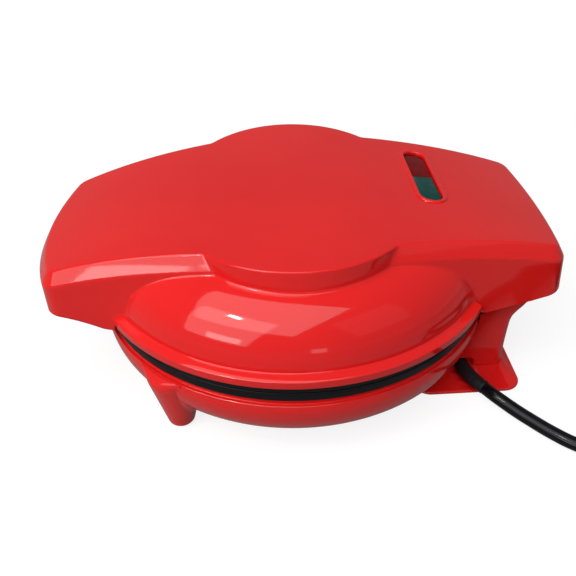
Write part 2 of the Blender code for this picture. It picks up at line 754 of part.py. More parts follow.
def lid_cover():
    shell = join(band_solid(0, 0), turned(dome_profile(0, LIP_Z)))
    inner_dome = turned(dome_profile(WALL, LIP_Z - OVERRUN, INNER_DOME_STEPS), INNER_ROUND_STEPS)
    hollow = join(band_solid(WALL, OVERRUN), inner_dome)
    shell = cut(shell, hollow)
    additions = []
    boss_low = PLATE_PLANE_Z + SHIELD_BACK + GAP
    for x, y in shield_boss_places():
        additions.append(cylinder(SHIELD_BOSS_RADIUS, boss_low, top_z(y) - WALL / 2, x, y))
    tongue_z = LINER_Z + LINER_RISE
    for side in (-1, 1):
        additions.append(cylinder(HANDLE_BOSS_RADIUS, tongue_z + LINER_THICKNESS + GAP,
                                  top_z(HANDLE_BOSS_Y) - WALL / 2, side * HANDLE_BOSS_X, HANDLE_BOSS_Y))
        near = BARREL_HALF + SIDE_CLEARANCE
        edges = sorted((side * near, side * (near + LUG_WIDTH)))
        lug = join(box((edges[0], HINGE_Y - LUG_DEPTH / 2, HINGE_Z),
                       (edges[1], HINGE_Y + LUG_DEPTH / 2, top_z(HINGE_Y + LUG_DEPTH / 2) - WALL / 2)),
                   cross_bar(LUG_RADIUS, edges[0], edges[1], HINGE_Y, HINGE_Z))
        additions.append(lug)
    place = window_place()
    rim = 2 * WINDOW_RIM
    additions.append(stadium(WINDOW_LENGTH + rim, WINDOW_WIDTH + rim, -WALL / 2, WINDOW_RIM_HEIGHT, place))
    shell = join(shell, *additions)
    cutters = [stadium(WINDOW_LENGTH, WINDOW_WIDTH, -OVERRUN / 2, OVERRUN / 2, place)]
    pin_hole = PIN_RADIUS + PIN_CLEARANCE
    pin_reach = BARREL_HALF + LUG_WIDTH + 2 * SIDE_CLEARANCE
    cutters.append(cross_bar(pin_hole, -pin_reach, pin_reach, HINGE_Y, HINGE_Z))
    cutters += [screw_hole(x, y, boss_low - GAP, boss_low + SCREW_LENGTH) for x, y in shield_boss_places()]
    cutters += [screw_hole(side * HANDLE_BOSS_X, HANDLE_BOSS_Y, tongue_z, tongue_z + SCREW_LENGTH + GAP)
                for side in (-1, 1)]
    keep(cut(shell, *cutters), "lid_cover", "red_gloss", on_lid=True)


def liner_z(y):
    """Height of the liner's underside, which climbs into the handle past the round body."""
    start, end = LIP_RADIUS - LINER_RAMP_START, LIP_RADIUS + LINER_RAMP_END
    return LINER_Z + LINER_RISE * min(1.0, max(0.0, (-y - start) / (end - start)))


def lid_liner():
    """The plate that closes the handle from below, with the ring round the upper plate."""
    low, high = LINER_Z, LINER_Z + LINER_THICKNESS
    inset = WALL + GAP
    half = half_outline(CHAMFER_OUT - inset, BULGE_DRAFT - inset)
    under = [liner_z(y) for _, y in half]
    tongue = rings_solid([full_ring(half, [z + LINER_THICKNESS for z in under]), full_ring(half, under)])
    lap_y = LINER_LAP - LINER_RAMP_START - LIP_RADIUS
    tongue = cut(tongue, box((-LIP_RADIUS, lap_y, low - OVERRUN), (LIP_RADIUS, 2 * LIP_RADIUS, high + OVERRUN)))
    liner = join(cylinder(LINER_EDGE_RADIUS, low, high, steps=ROUND_STEPS), tongue)
    ends = (low - OVERRUN, high + OVERRUN)
    holes = [cylinder(LINER_HOLE_RADIUS, *ends, steps=ROUND_STEPS)]
    holes += [screw_hole(side * HANDLE_BOSS_X, HANDLE_BOSS_Y, *ends) for side in (-1, 1)]
    keep(cut(liner, *holes), "lid_liner", "red_gloss", on_lid=True)
    seats = [(side * HANDLE_BOSS_X, HANDLE_BOSS_Y, low + LINER_RISE - GAP) for side in (-1, 1)]
    keep_each(screws(seats, SCREW_LENGTH, 1), "liner_screw", "steel", on_lid=True)


def cooking_plate():
    """The upper plate: a disc with ring moulds pressed into it and its screw bosses on the back."""
    face = PLATE_PLANE_Z + GAP / 2
    back = PLATE_PLANE_Z + PLATE_BACK
    plate = cylinder(PLATE_RADIUS, face - PLATE_THICKNESS, back, steps=ROUND_STEPS)
    plate = join(plate, *[donut(x, y, PLATE_PLANE_Z, DONUT_BACK, DONUT_BACK_STEPS) for x, y in donut_places()])
    boss_top = PLATE_PLANE_Z + SHIELD_RISE - GAP
    plate = join(plate, *[cylinder(PLATE_BOSS_RADIUS, face, boss_top, x, y) for x, y in plate_boss_places()])
    wide = 2 * PLATE_RADIUS
    plate = cut(plate, box((-wide, -wide, face - OVERRUN), (wide, wide, face)))
    plate = cut(plate, *[donut(x, y, PLATE_PLANE_Z, DONUT_TUBE_RADIUS) for x, y in donut_places()])
    hole_low = boss_top - SCREW_LENGTH
    return cut(plate, *[screw_hole(x, y, hole_low, boss_top + GAP) for x, y in plate_boss_places()])


def tube(points, radius, resolution=1, end_share=1.0):
    """A round bar along a list of points, with filled ends. It may taper to a share of its radius."""
    curve = bpy.data.curves.new("tube", "CURVE")
    curve.dimensions = "3D"
    curve.bevel_depth = radius
    curve.bevel_resolution = resolution
    curve.use_fill_caps = True
    spline = curve.splines.new("POLY")
    spline.points.add(len(points) - 1)
    for i, (spot, point) in enumerate(zip(spline.points, points)):
        spot.co = (*point, 1)
        spot.radius = 1 + (end_share - 1) * i / (len(points) - 1)
    made = bpy.data.objects.new("tube", curve)
    bpy.context.scene.collection.objects.link(made)
    return made


def meshed(curve_object, name="tube"):
    """The tube as a closed mesh, its caps welded on."""
    bpy.context.view_layer.update()
    shape = curve_object.evaluated_get(bpy.context.evaluated_depsgraph_get())
    mesh = bpy.data.meshes.new_from_object(shape)
    mesh.transform(curve_object.matrix_world)
    welded = bmesh.new()
    welded.from_mesh(mesh)
    bmesh.ops.remove_doubles(welded, verts=welded.verts, dist=MERGE_DISTANCE)
    bmesh.ops.recalc_face_normals(welded, faces=welded.faces)
    welded.to_mesh(mesh)
    welded.free()
    bpy.data.objects.remove(curve_object, do_unlink=True)
    made = bpy.data.objects.new(name, mesh)
    bpy.context.scene.collection.objects.link(made)
    return made


def element_points():
    """Middle line of the upper element: an open ring whose two ends turn away from the plate."""
    z = PLATE_PLANE_Z + ELEMENT_RISE
    start = pi / 2 + ELEMENT_OPEN_ANGLE / 2
    ring = arc((0, 0), ELEMENT_RING_RADIUS, start, start + 2 * pi - ELEMENT_OPEN_ANGLE, LOOP_POINTS)
    ends = []
    for near, last in ((ring[1], ring[0]), (ring[-2], ring[-1])):
        turn = Vector(last) + (Vector(last) - Vector(near)).normalized() * ELEMENT_BEND / 2
        ends.append([(*turn, z + ELEMENT_BEND / 2), (*turn, z + ELEMENT_TAIL)])
    return ends[0][::-1] + [(x, y, z) for x, y in ring] + ends[1]


def shield(tails):
    """The upper heat shield: a shallow steel pan over the element."""
    low, high = PLATE_PLANE_Z + SHIELD_RISE, PLATE_PLANE_Z + SHIELD_BACK
    rim = low - SHIELD_RIM
    inner = SHIELD_RADIUS - SHIELD_THICKNESS
    profile = [(0, high), (SHIELD_RADIUS, high), (SHIELD_RADIUS, rim), (inner, rim), (inner, low), (0, low)]
    pan = turned(profile, INNER_ROUND_STEPS)
    holes = [screw_hole(x, y, low - GAP, high + GAP) for x, y in plate_boss_places() + shield_boss_places()]
    holes += [cylinder(SHIELD_SLOT_RADIUS, low - GAP, high + GAP, x, y) for x, y, _ in tails]
    return cut(pan, *holes)


def plate_stack(name, on_lid):
    """A cooking plate with its element, shield and screws, above the meeting plane or below it."""
    line = element_points()
    behind = PLATE_PLANE_Z + SHIELD_BACK + GAP
    before = PLATE_PLANE_Z + SHIELD_RISE - GAP
    pieces = [
        (cooking_plate(), name + "_plate", "black_coat"),
        (meshed(tube(line, ELEMENT_RADIUS)), name + "_element", "steel"),
        (shield((line[0], line[-1])), name + "_shield", "steel"),
    ]
    to_plate = screws([(x, y, behind) for x, y in plate_boss_places()], SCREW_LENGTH, -1)
    to_shell = screws([(x, y, before) for x, y in shield_boss_places()], SCREW_LENGTH, 1)
    pieces += [(screw, f"{name}_plate_screw_{i}", "steel") for i, screw in enumerate(to_plate, 1)]
    pieces += [(screw, f"{name}_shield_screw_{i}", "steel") for i, screw in enumerate(to_shell, 1)]
    for piece, node, finish in pieces:
        keep(piece if on_lid else flipped(piece), node, finish, on_lid)


def indicator():
    """The window's two lenses, the holder behind them and its two lamps."""
    place = window_place()
    lens_top = WINDOW_RIM_HEIGHT - LENS_SINK
    lens_low = lens_top - LENS_THICKNESS
    tall = OVERRUN / 2
    for name, way in (("red", -1), ("green", 1)):
        lens = stadium(WINDOW_LENGTH - 2 * GAP, WINDOW_WIDTH - 2 * GAP, lens_low, lens_top, place)
        edges = sorted((-way * WINDOW_LENGTH, way * GAP / 2))
        other = box((edges[0], -tall, -tall), (edges[1], tall, tall))
        other.data.transform(place)
        keep(cut(lens, other), name + "_lens", name + "_lens", on_lid=True)
    top = -WALL - GAP
    wide = WINDOW_WIDTH + 2 * GAP
    long = WINDOW_LENGTH + 2 * GAP
    wall = 2 * HOLDER_WALL
    tray = stadium(long + wall, wide + wall, top - HOLDER_DEPTH, top, place)
    floor = top - HOLDER_DEPTH + HOLDER_WALL
    tray = cut(tray, stadium(long, wide, floor, top + OVERRUN, place))
    keep(tray, "lamp_holder", "white_plastic", on_lid=True)
    for name, way in (("red", -1), ("green", 1)):
        x = way * WINDOW_LENGTH / 4
        lamp_z = floor + GAP + LAMP_RADIUS
        lamp = cross_bar(LAMP_RADIUS, x - LAMP_LENGTH / 2, x + LAMP_LENGTH / 2, 0, lamp_z, TINY_STEPS)
        lamp.data.transform(place)
        keep(lamp, name + "_lamp", "brass", on_lid=True)


def bowl_profile(grow, top, steps=DOME_STEPS):
    """The bowl's outer side: its neck, its shoulder and a quarter superellipse down to its floor.

    grow moves it outwards, or inwards where it is below zero.
    """
    wide = BOWL_RADIUS + grow - BOWL_FLAT_RADIUS
    tall = BOWL_TURN_Z - BOWL_FLOOR_Z + grow
    power = 2 / BOWL_POWER
    ledge = max(0.0, -grow)
    start = asin((ledge / tall) ** (1 / power))
    turns = [start + (pi / 2 - start) * i / steps for i in range(steps)]
    side = [(BOWL_FLAT_RADIUS + wide * cos(a) ** power, BOWL_TURN_Z - tall * sin(a) ** power) for a in turns]
    floor = BOWL_TURN_Z - tall
    neck = BOWL_NECK_RADIUS + grow
    return [(0, top), (neck, top), (neck, BOWL_TURN_Z - ledge)] + side + [(BOWL_FLAT_RADIUS, floor), (0, floor)]


def base_bowl():
    """The bowl with its two front legs and its inner bosses."""
    bowl = turned(bowl_profile(0, BOWL_TOP_Z))
    for side in (-1, 1):
        leg = cylinder(LEG_FOOT_RADIUS, LEG_FOOT_Z, LEG_TOP_Z, side * LEG_X, LEG_Y, top_radius=LEG_TOP_RADIUS)
        bowl = join(bowl, leg)
    bowl = cut(bowl, turned(bowl_profile(-WALL, BOWL_TOP_Z + OVERRUN, INNER_DOME_STEPS), INNER_ROUND_STEPS))
    boss_top = PLATE_PLANE_Z - SHIELD_BACK - GAP
    low = BOWL_FLOOR_Z + WALL / 2
    bowl = join(bowl, *[cylinder(SHIELD_BOSS_RADIUS, low, boss_top, x, y) for x, y in shield_boss_places()])
    floor_low, floor_high = BOWL_FLOOR_Z - OVERRUN, BOWL_FLOOR_Z + OVERRUN
    holes = [cylinder(BOWL_HOLE_RADIUS, floor_low, floor_high, steps=INNER_ROUND_STEPS)]
    for x, y in shield_boss_places():
        holes.append(screw_hole(x, y, boss_top - SCREW_LENGTH, boss_top + GAP))
        holes.append(screw_hole(x, y, BOWL_FLOOR_Z - GAP, BOWL_FLOOR_Z + SCREW_LENGTH))
    for side in (-1, 1):
        holes.append(cylinder(PAD_RADIUS + GAP, -GAP, PAD_DEPTH + GAP, side * LEG_X, LEG_Y))
    keep(cut(bowl, *holes, lead_hole()), "base_bowl", "red_gloss")
    pads = [cylinder(PAD_RADIUS, 0, PAD_DEPTH, side * LEG_X, LEG_Y) for side in (-1, 1)]
    keep_each(pads, "front_foot_pad", "black_rubber")


def lead_hole():
    """The hole that the inner leads take through the bowl's and the stand's walls."""
    hole = cylinder(LEAD_HOLE_RADIUS, BOWL_FLAT_RADIUS, STAND_REAR_Y - 2 * STAND_WALL)
    hole.data.transform(Matrix.Rotation(-pi / 2, 4, "X"))
    hole.data.transform(Matrix.Translation((LEAD_HOLE_X, 0, LEAD_HOLE_Z)))
    return hole


def stand_outline(half_width, rear_y, corner_radius):
    """Plan outline of the stand for x >= 0, front to rear, with its rear corner rounded."""
    corner = (half_width - corner_radius, rear_y - corner_radius)
    rear = arc(corner, corner_radius, 0, pi / 2, CORNER_STEPS)
    return [(0, STAND_FRONT_Y), (half_width, STAND_FRONT_Y)] + rear + [(0, rear_y)]


def stand_solid(inset, low, high):
    rings = []
    for height_share, flare_share in STAND_REAR_SHARES:
        z = low + (high - low) * height_share
        rear_y = STAND_REAR_Y + STAND_FLARE * flare_share
        half = stand_outline(STAND_HALF - inset, rear_y - inset, STAND_CORNER_RADIUS - inset / 2)
        rings.append(full_ring(half, [z] * len(half)))
    return rings_solid(rings)


def bowl_room(grow):
    """The space that the bowl, the plates and the lid's lip need, grown all round."""
    profile = bowl_profile(grow, BOWL_TOP_Z)
    lip = LIP_RADIUS + SIDE_CLEARANCE + grow
    upper = [(0, CROWN_Z), (lip, CROWN_Z), (lip, BOWL_TOP_Z), (BOWL_RADIUS + grow, BOWL_TOP_Z)]
    return turned(upper + profile[3:])


def rear_stand():
    """The hollow stand behind the bowl, with the hinge barrel and its two ears on top."""
    ear = STAND_HALF - STAND_EAR
    notch_z = HINGE_Z - LUG_RADIUS - 2 * SIDE_CLEARANCE
    stand = cut(stand_solid(0, STAND_Z, STAND_TOP_Z), bowl_room(GAP))
    hollow = stand_solid(STAND_WALL, STAND_Z - GAP, STAND_TOP_Z)
    ceiling = box((-LIP_RADIUS, 0, notch_z - STAND_WALL), (LIP_RADIUS, FOOT_REAR_Y + OVERRUN, CROWN_Z))
    hollow = cut(hollow, bowl_room(STAND_WALL), ceiling)
    stand = cut(stand, hollow)
    for side in (-1, 1):
        edges = sorted((side * BARREL_HALF, side * ear))
        stand = cut(stand, box((edges[0], 0, notch_z), (edges[1], FOOT_REAR_Y + OVERRUN, CROWN_Z)))
        ears = sorted((side * ear, side * STAND_HALF))
        stand = join(stand, cross_bar(BARREL_RADIUS, ears[0], ears[1], HINGE_Y, HINGE_Z))
        stand = join(stand, cylinder(POST_RADIUS, STAND_Z, STAND_Z + POST_HEIGHT, side * POST_X, POST_Y))
    stand = join(stand, cross_bar(BARREL_RADIUS, -BARREL_HALF, BARREL_HALF, HINGE_Y, HINGE_Z))
    x, y, z = RELIEF_ROUTE[0]
    pocket = box((ear - STAND_WALL, y - POCKET_FRONT, STAND_Z - OVERRUN),
                 (STAND_HALF + OVERRUN, y + POCKET_REAR, z + RELIEF_START_RADIUS + GAP))
    cutters = [pocket, lead_hole(), cross_bar(PIN_RADIUS + PIN_CLEARANCE, -STAND_HALF - GAP, STAND_HALF + GAP,
                                              HINGE_Y, HINGE_Z)]
    cutters += [screw_hole(side * POST_X, POST_Y, STAND_Z - GAP, STAND_Z + SCREW_LENGTH) for side in (-1, 1)]
    keep(cut(stand, *cutters), "rear_stand", "red_gloss")
    pin = cross_bar(PIN_RADIUS, -STAND_HALF + GAP, STAND_HALF - GAP, HINGE_Y, HINGE_Z)
    keep(pin, "hinge_pin", "steel")


def foot_outline(half_width, front_y, rear_y, radius):
    front = arc((half_width - radius, front_y + radius), radius, -pi / 2, 0, CORNER_STEPS)
    rear = arc((half_width - radius, rear_y - radius), radius, 0, pi / 2, CORNER_STEPS)
    return [(0, front_y)] + front + rear + [(0, rear_y)]


def stand_foot():
    """The flange under the stand, thin at its edge, screwed up into the stand's posts."""
    wide = foot_outline(FOOT_HALF, FOOT_FRONT_Y, FOOT_REAR_Y, FOOT_CORNER_RADIUS)
    rise = STAND_HALF + FOOT_SHOULDER
    tight = foot_outline(rise, STAND_FRONT_Y, STAND_REAR_Y + FOOT_SHOULDER, STAND_CORNER_RADIUS)
    levels = ((tight, FOOT_HEIGHT), (wide, FOOT_EDGE), (wide, 0))
    foot = rings_solid([full_ring(half, [z] * len(half)) for half, z in levels])
    seat = SCREW_HEAD_HEIGHT + GAP
    cutters = [cylinder(COVER_RADIUS + SIDE_CLEARANCE, -GAP, FOOT_HEIGHT + GAP, steps=INNER_ROUND_STEPS)]
    x, y, _ = RELIEF_ROUTE[0]
    cutters.append(box((x - 2 * SIDE_CLEARANCE, y - CHANNEL_FRONT, CHANNEL_FLOOR),
                       (FOOT_HALF + OVERRUN, y + CHANNEL_REAR, FOOT_HEIGHT + OVERRUN)))
    for side in (-1, 1):
        cutters.append(screw_hole(side * POST_X, POST_Y, -GAP, FOOT_HEIGHT + GAP))
        cutters.append(cylinder(SCREW_HEAD_RADIUS + GAP, -GAP, seat - GAP / 2, side * POST_X, POST_Y))
    keep(cut(foot, *cutters), "stand_foot", "red_gloss")
    seats = [(side * POST_X, POST_Y, seat - GAP) for side in (-1, 1)]
    keep_each(screws(seats, SCREW_LENGTH, 1), "foot_screw", "steel")


def bottom_cover():
    """The vented plate that closes the bowl's floor, with its screws."""
    low = COVER_TOP_Z - COVER_THICKNESS
    plate = cylinder(COVER_RADIUS, low, COVER_TOP_Z, steps=INNER_ROUND_STEPS)
    cutters = [screw_hole(x, y, low - GAP, COVER_TOP_Z + GAP) for x, y in shield_boss_places()]
    for i in range(VENT_COUNT):
        x = (i - (VENT_COUNT - 1) / 2) * VENT_PITCH
        cutters.append(box((x - VENT_WIDTH / 2, VENT_Y - VENT_LENGTH / 2, low - OVERRUN),
                           (x + VENT_WIDTH / 2, VENT_Y + VENT_LENGTH / 2, COVER_TOP_Z + OVERRUN)))
    keep(cut(plate, *cutters), "bottom_cover", "black_rubber")
    seats = [(x, y, low - GAP) for x, y in shield_boss_places()]
    keep_each(screws(seats, SCREW_LENGTH, 1), "cover_screw", "steel")


def controls():
    """Thermostat and fuse under the lower shield, and the terminal block on the bottom cover."""
    under = PLATE_PLANE_Z - SHIELD_BACK - GAP
    thermostat = cylinder(THERMOSTAT_RADIUS, under - THERMOSTAT_HEIGHT, under, 0, THERMOSTAT_Y)
    keep(thermostat, "thermostat", "steel")
    half = FUSE_LENGTH / 2
    fuse = cross_bar(FUSE_RADIUS, FUSE_X - half, FUSE_X + half, FUSE_Y, under - FUSE_RADIUS)
    keep(fuse, "thermal_fuse", "white_plastic")
    low = BOWL_FLOOR_Z
    block = box((-BLOCK_LENGTH / 2, BLOCK_Y - BLOCK_DEPTH / 2, low),
                (BLOCK_LENGTH / 2, BLOCK_Y + BLOCK_DEPTH / 2, low + BLOCK_HEIGHT))
    keep(block, "terminal_block", "white_plastic")
    clamp = box((CLAMP_X, CLAMP_FRONT_Y, STAND_Z),
                (CLAMP_X + CLAMP_LENGTH, CLAMP_FRONT_Y + CLAMP_DEPTH, STAND_Z + CLAMP_HEIGHT))
    bores = [cross_bar(LEAD_RADIUS + GAP, CLAMP_X - GAP, CLAMP_X + CLAMP_LENGTH + GAP, route[0][1], route[0][2])
             for route in (LIVE_ROUTE, NEUTRAL_ROUTE)]
    keep(cut(clamp, *bores), "cord_clamp", "white_plastic")


def smooth(points, steps):
    """Points on a Catmull-Rom curve through the given ones, with steps to each stretch."""
    knots = [Vector(p) for p in points]
    knots = [knots[0] * 2 - knots[1]] + knots + [knots[-1] * 2 - knots[-2]]
    made = []
    for a, b, c, d in zip(knots, knots[1:], knots[2:], knots[3:]):
        for i in range(steps):
            t = i / steps
            made.append((b * 2 + (c - a) * t + (a * 2 - b * 5 + c * 4 - d) * t ** 2
                         + (b * 3 - a - c * 3 + d) * t ** 3) / 2)
    return made + [knots[-2]]


def mirrored(route):
    return [(-x, y, z) for x, y, z in route]


def inner_leads(tails):
    """The leads of the base, each from terminal to terminal."""
    below = [(x, y, 2 * PLATE_PLANE_Z - z - GAP) for x, y, z in tails]
    right = list(ELEMENT_ROUTE) + [max(below)]
    routes = {"live_lead": LIVE_ROUTE, "neutral_lead": NEUTRAL_ROUTE, "element_lead_1": right,
              "element_lead_2": mirrored(right), "thermostat_lead": CONTROL_ROUTE, "fuse_lead": FUSE_ROUTE,
              "return_lead": RETURN_ROUTE}
    for name, route in routes.items():
        keep(meshed(tube(smooth(route, LEAD_STEPS), LEAD_RADIUS)), name, "white_plastic")


def lid_leads(tails):
    """Two leads from the upper element to the lamps' holder."""
    place = window_place()
    made = []
    for x, y, z in tails:
        start = Vector((x, y, z + GAP))
        end = place @ Vector((x, -WINDOW_WIDTH / 2 - 2 * GAP - HOLDER_WALL, -HOLDER_DEPTH))
        up, back = Vector((0, 0, LID_LEAD_BEND)), Vector((0, LID_LEAD_BEND, 0))
        route = (start, start + up / 2, start + up, end - back, end - back / 2, end)
        made.append(meshed(tube(smooth(route, LEAD_STEPS), LEAD_RADIUS)))
    keep_each(made, "lid_lead", "white_plastic", on_lid=True)


def coil_points():
    """The coil's middle line: a spiral that runs in, climbs a layer as it turns, and runs out again."""
    centre = Vector((COIL_X, COIL_Y, 0))
    end_drop = COIL_Z + COIL_PITCH - PLUG_DEPTH / 2
    total = COIL_TURNS_IN + COIL_TURNS_OUT
    count = round(total * COIL_POINTS)
    points = []
    for i in range(count + 1):
        t = total * i / count - COIL_TURNS_IN
        angle = COIL_START_ANGLE + 2 * pi * (t + COIL_TURNS_IN)
        radius = COIL_RADIUS + COIL_PITCH * abs(t)
        climb = min(1.0, max(0.0, t / COIL_CLIMB_TURNS + 1 / 2))
        drop = max(0.0, 1 - (COIL_TURNS_OUT - t) / COIL_DROP_TURNS)
        height = COIL_Z + COIL_PITCH * climb ** 2 * (3 - 2 * climb) - end_drop * drop ** 2 * (3 - 2 * drop)
        points.append(centre + Vector((radius * cos(angle), radius * sin(angle), height)))
    first = (points[0] - points[1]).normalized()
    last = (points[-1] - points[-2]).normalized()
    last.z = 0
    return [points[0] + first * 2 * CORD_RADIUS] + points + [points[-1] + last.normalized() * 2 * CORD_RADIUS]


def least_gap(points):
    """The least free space between stretches of the coil that are over a third of a turn apart."""
    apart = COIL_POINTS // 3
    gaps = [(a - b).length for i, a in enumerate(points) for b in points[i + apart:]]
    return min(gaps) - 2 * CORD_RADIUS


def cord():
    """The strain relief, the lead to the coil, the coil, its tie and the plug."""
    relief = tube(RELIEF_ROUTE, RELIEF_START_RADIUS, 2, RELIEF_END_SHARE)
    keep(meshed(relief), "strain_relief", "black_rubber")
    coil = coil_points()
    straight = 2 * CORD_RADIUS + GAP
    start = Vector(RELIEF_ROUTE[-1])
    leaving = (start - Vector(RELIEF_ROUTE[-2])).normalized()
    heading = (coil[1] - coil[0]).normalized()
    route = [start + leaving * GAP, start + leaving * straight] + [Vector(p) for p in CORD_ROUTE]
    route += [coil[0] - heading * straight, coil[0] - heading * GAP]
    lead = tube(smooth(route, 1), CORD_RADIUS, 2)
    keep(meshed(lead), "cord_lead", "black_rubber")
    keep(meshed(tube(coil, CORD_RADIUS, 1)), "cord_coil", "black_rubber")
    length = sum((b - a).length for a, b in zip(coil, coil[1:]))
    lead_length = sum((b - a).length for a, b in zip(route, route[1:]))
    print("coil: least gap", round(least_gap(coil), 5), "coil length", round(length, 4),
          "lead length", round(lead_length, 4))
    cord_tie()
    cord_plug(coil[-1], (coil[-1] - coil[-2]).normalized())


def cord_tie():
    """A band round the coil's section at one angle."""
    turn = (TIE_ANGLE - COIL_START_ANGLE) % (2 * pi) / (2 * pi)
    radii = [COIL_RADIUS + COIL_PITCH * abs(turn + i - COIL_TURNS_IN) for i in range(2)]
    inner = min(radii) - CORD_RADIUS - SIDE_CLEARANCE
    outer = max(radii) + CORD_RADIUS + SIDE_CLEARANCE
    low, high = COIL_Z - CORD_RADIUS - GAP, COIL_Z + COIL_PITCH + CORD_RADIUS + GAP
    half = TIE_WIDTH / 2
    thick = TIE_THICKNESS
    band = cut(box((inner - thick, -half, low - thick), (outer + thick, half, high + thick)),
               box((inner, -TIE_WIDTH, low), (outer, TIE_WIDTH, high)))
    band.data.transform(Matrix.Rotation(TIE_ANGLE, 4, "Z"))
    band.data.transform(Matrix.Translation((COIL_X, COIL_Y, 0)))
    keep(band, "cord_tie", "black_rubber")


def plug_ring(x, width, depth):
    """A rounded rectangle across the plug's length."""
    radius = PLUG_CORNER_RADIUS
    corners = ((1, 1), (-1, 1), (-1, -1), (1, -1))
    ring = []
    for i, (side, rise) in enumerate(corners):
        middle = (side * (width / 2 - radius), rise * (depth / 2 - radius))
        ring += [(x, y, z) for y, z in arc(middle, radius, i * pi / 2, (i + 1) * pi / 2, CORNER_STEPS)]
    return ring


def cord_plug(end, heading):
    """A two-blade plug that lies on the table, in line with the coil's end."""
    place = Matrix.Translation(end) @ Matrix.Rotation(atan2(heading.y, heading.x), 4, "Z")
    neck_end = GAP + PLUG_NECK_LENGTH
    face = neck_end + PLUG_LENGTH
    wide_from = neck_end + PLUG_TAPER_LENGTH
    rings = [plug_ring(neck_end, PLUG_TAIL_WIDTH, PLUG_TAIL_DEPTH)]
    rings += [plug_ring(x, PLUG_WIDTH, PLUG_DEPTH) for x in (wide_from, face)]
    count = len(rings[0])
    faces = [tuple(reversed(range(count))), tuple(range(2 * count, 3 * count))]
    for start in (0, count):
        for i in range(count):
            after = (i + 1) % count
            faces.append((start + i, start + after, start + count + after, start + count + i))
    body = mesh_object("plug", [p for ring in rings for p in ring], faces)
    neck = cross_bar(PLUG_NECK_RADIUS, GAP, neck_end + PLUG_CORNER_RADIUS, 0, 0)
    body = join(body, neck)
    blades = []
    for side in (-1, 1):
        y = side * BLADE_SPACING / 2
        low = Vector((face - BLADE_ROOT, y - BLADE_THICKNESS / 2, -BLADE_WIDTH / 2))
        high = Vector((face + BLADE_LENGTH, y + BLADE_THICKNESS / 2, BLADE_WIDTH / 2))
        room = Vector((GAP, GAP, GAP))
        body = cut(body, box(low - room, high + room))
        blades.append(box(low, high))
    body.data.transform(place)
    keep(body, "cord_plug", "black_rubber")
    for blade in blades:
        blade.data.transform(place)
    keep_each(blades, "plug_blade", "brass")


ELEMENT_LINE = element_points()
TAILS = (ELEMENT_LINE[0], ELEMENT_LINE[-1])
lid_cover()
lid_liner()
plate_stack("upper", True)
indicator()
lid_leads(TAILS)
base_bowl()
plate_stack("lower", False)
rear_stand()
stand_foot()
bottom_cover()
controls()
inner_leads(TAILS)
cord()
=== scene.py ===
"""The looks of the mini donut maker, in metres, +Z up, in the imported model's frame.

The carrying handle points to -Y, the hinge is at +Y, and the photograph looks from +X. Plan
measures are taken from the round body's axis, as in the part's source, and placed() carries
them to the model's frame.
"""
import json
from math import atan2, cos, pi, radians, sin, sqrt

import bmesh
import bpy
import numpy as np
from mathutils import Euler, Matrix, Vector


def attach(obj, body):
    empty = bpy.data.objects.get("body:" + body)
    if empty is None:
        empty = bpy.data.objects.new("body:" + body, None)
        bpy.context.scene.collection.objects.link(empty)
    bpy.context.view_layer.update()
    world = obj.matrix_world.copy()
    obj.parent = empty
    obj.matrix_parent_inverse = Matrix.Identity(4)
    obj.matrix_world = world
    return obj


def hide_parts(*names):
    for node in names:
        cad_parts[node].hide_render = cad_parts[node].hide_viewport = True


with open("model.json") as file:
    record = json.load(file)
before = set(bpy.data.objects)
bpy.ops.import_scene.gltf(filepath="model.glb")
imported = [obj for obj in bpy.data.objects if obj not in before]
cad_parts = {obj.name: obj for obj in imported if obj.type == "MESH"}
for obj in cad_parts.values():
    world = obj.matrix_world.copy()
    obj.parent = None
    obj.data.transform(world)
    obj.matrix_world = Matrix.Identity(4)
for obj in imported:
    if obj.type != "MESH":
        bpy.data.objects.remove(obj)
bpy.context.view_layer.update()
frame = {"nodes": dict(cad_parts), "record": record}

# The round body's axis in the model's frame
AXIS_Y = -0.0019

# Lid's band, as in the solids
LIP_RADIUS = 0.1030
FRONT_REACH = 0.1280
REAR_REACH = 0.1303
LIP_Z = 0.0500
CROWN_Z = 0.0920
WALL = 0.0022
GAP = 0.0003
SIDE_CLEARANCE = 0.0005
FRONT_DROP = 0.0192
REAR_DROP = 0.0154
SQUARE_DROP_SHARE = 0.53
CROSSING_SHARE = 0.002
BAND_HALF_AT_BULGE = 0.0575
BAND_HALF_FRONT = 0.0444
BAND_HALF_REAR = 0.0440
FRONT_ARC_RADIUS = 0.1180
REAR_ARC_RADIUS = 0.3300
CORNER_RADIUS = 0.0055
CHAMFER_OUT = 0.0040
CHAMFER_DROP = 0.0068
REAR_DRAFT = 0.0015
BULGE_REACH = 0.0773
BULGE_RADIUS = 0.0559
BULGE_DRAFT = 0.0003
BULGE_FILLET = 0.0016
TOP_ROUND = 0.0011
FOLD_ROUND = 0.0010
CREASE_ROUND = 0.0012
CREASE_FADE = 0.0040
HEM_ROUND = 0.0006
INNER_ROUND_SHARE = 0.3

# Lower edge of the band: reach, length, rise, drop and power at each end
FRONT_HEM = (0.1193, 0.0266, 0.0035, 0.0064, 1.65)
REAR_HEM = (0.1263, 0.0402, 0.0029, 0.0059, 0.75)

# Dome and lip
DOME_RADIUS = 0.0986
DOME_FLAT_RADIUS = 0.0680
DOME_TOP_Z = 0.0826
DOME_FOOT_Z = 0.0555
LIP_HEIGHT = 0.0038
FLARE_SHARES = ((0.0, 1.0), (0.18, 0.80), (0.68, 0.42), (0.91, 0.18), (1.0, 0.0))

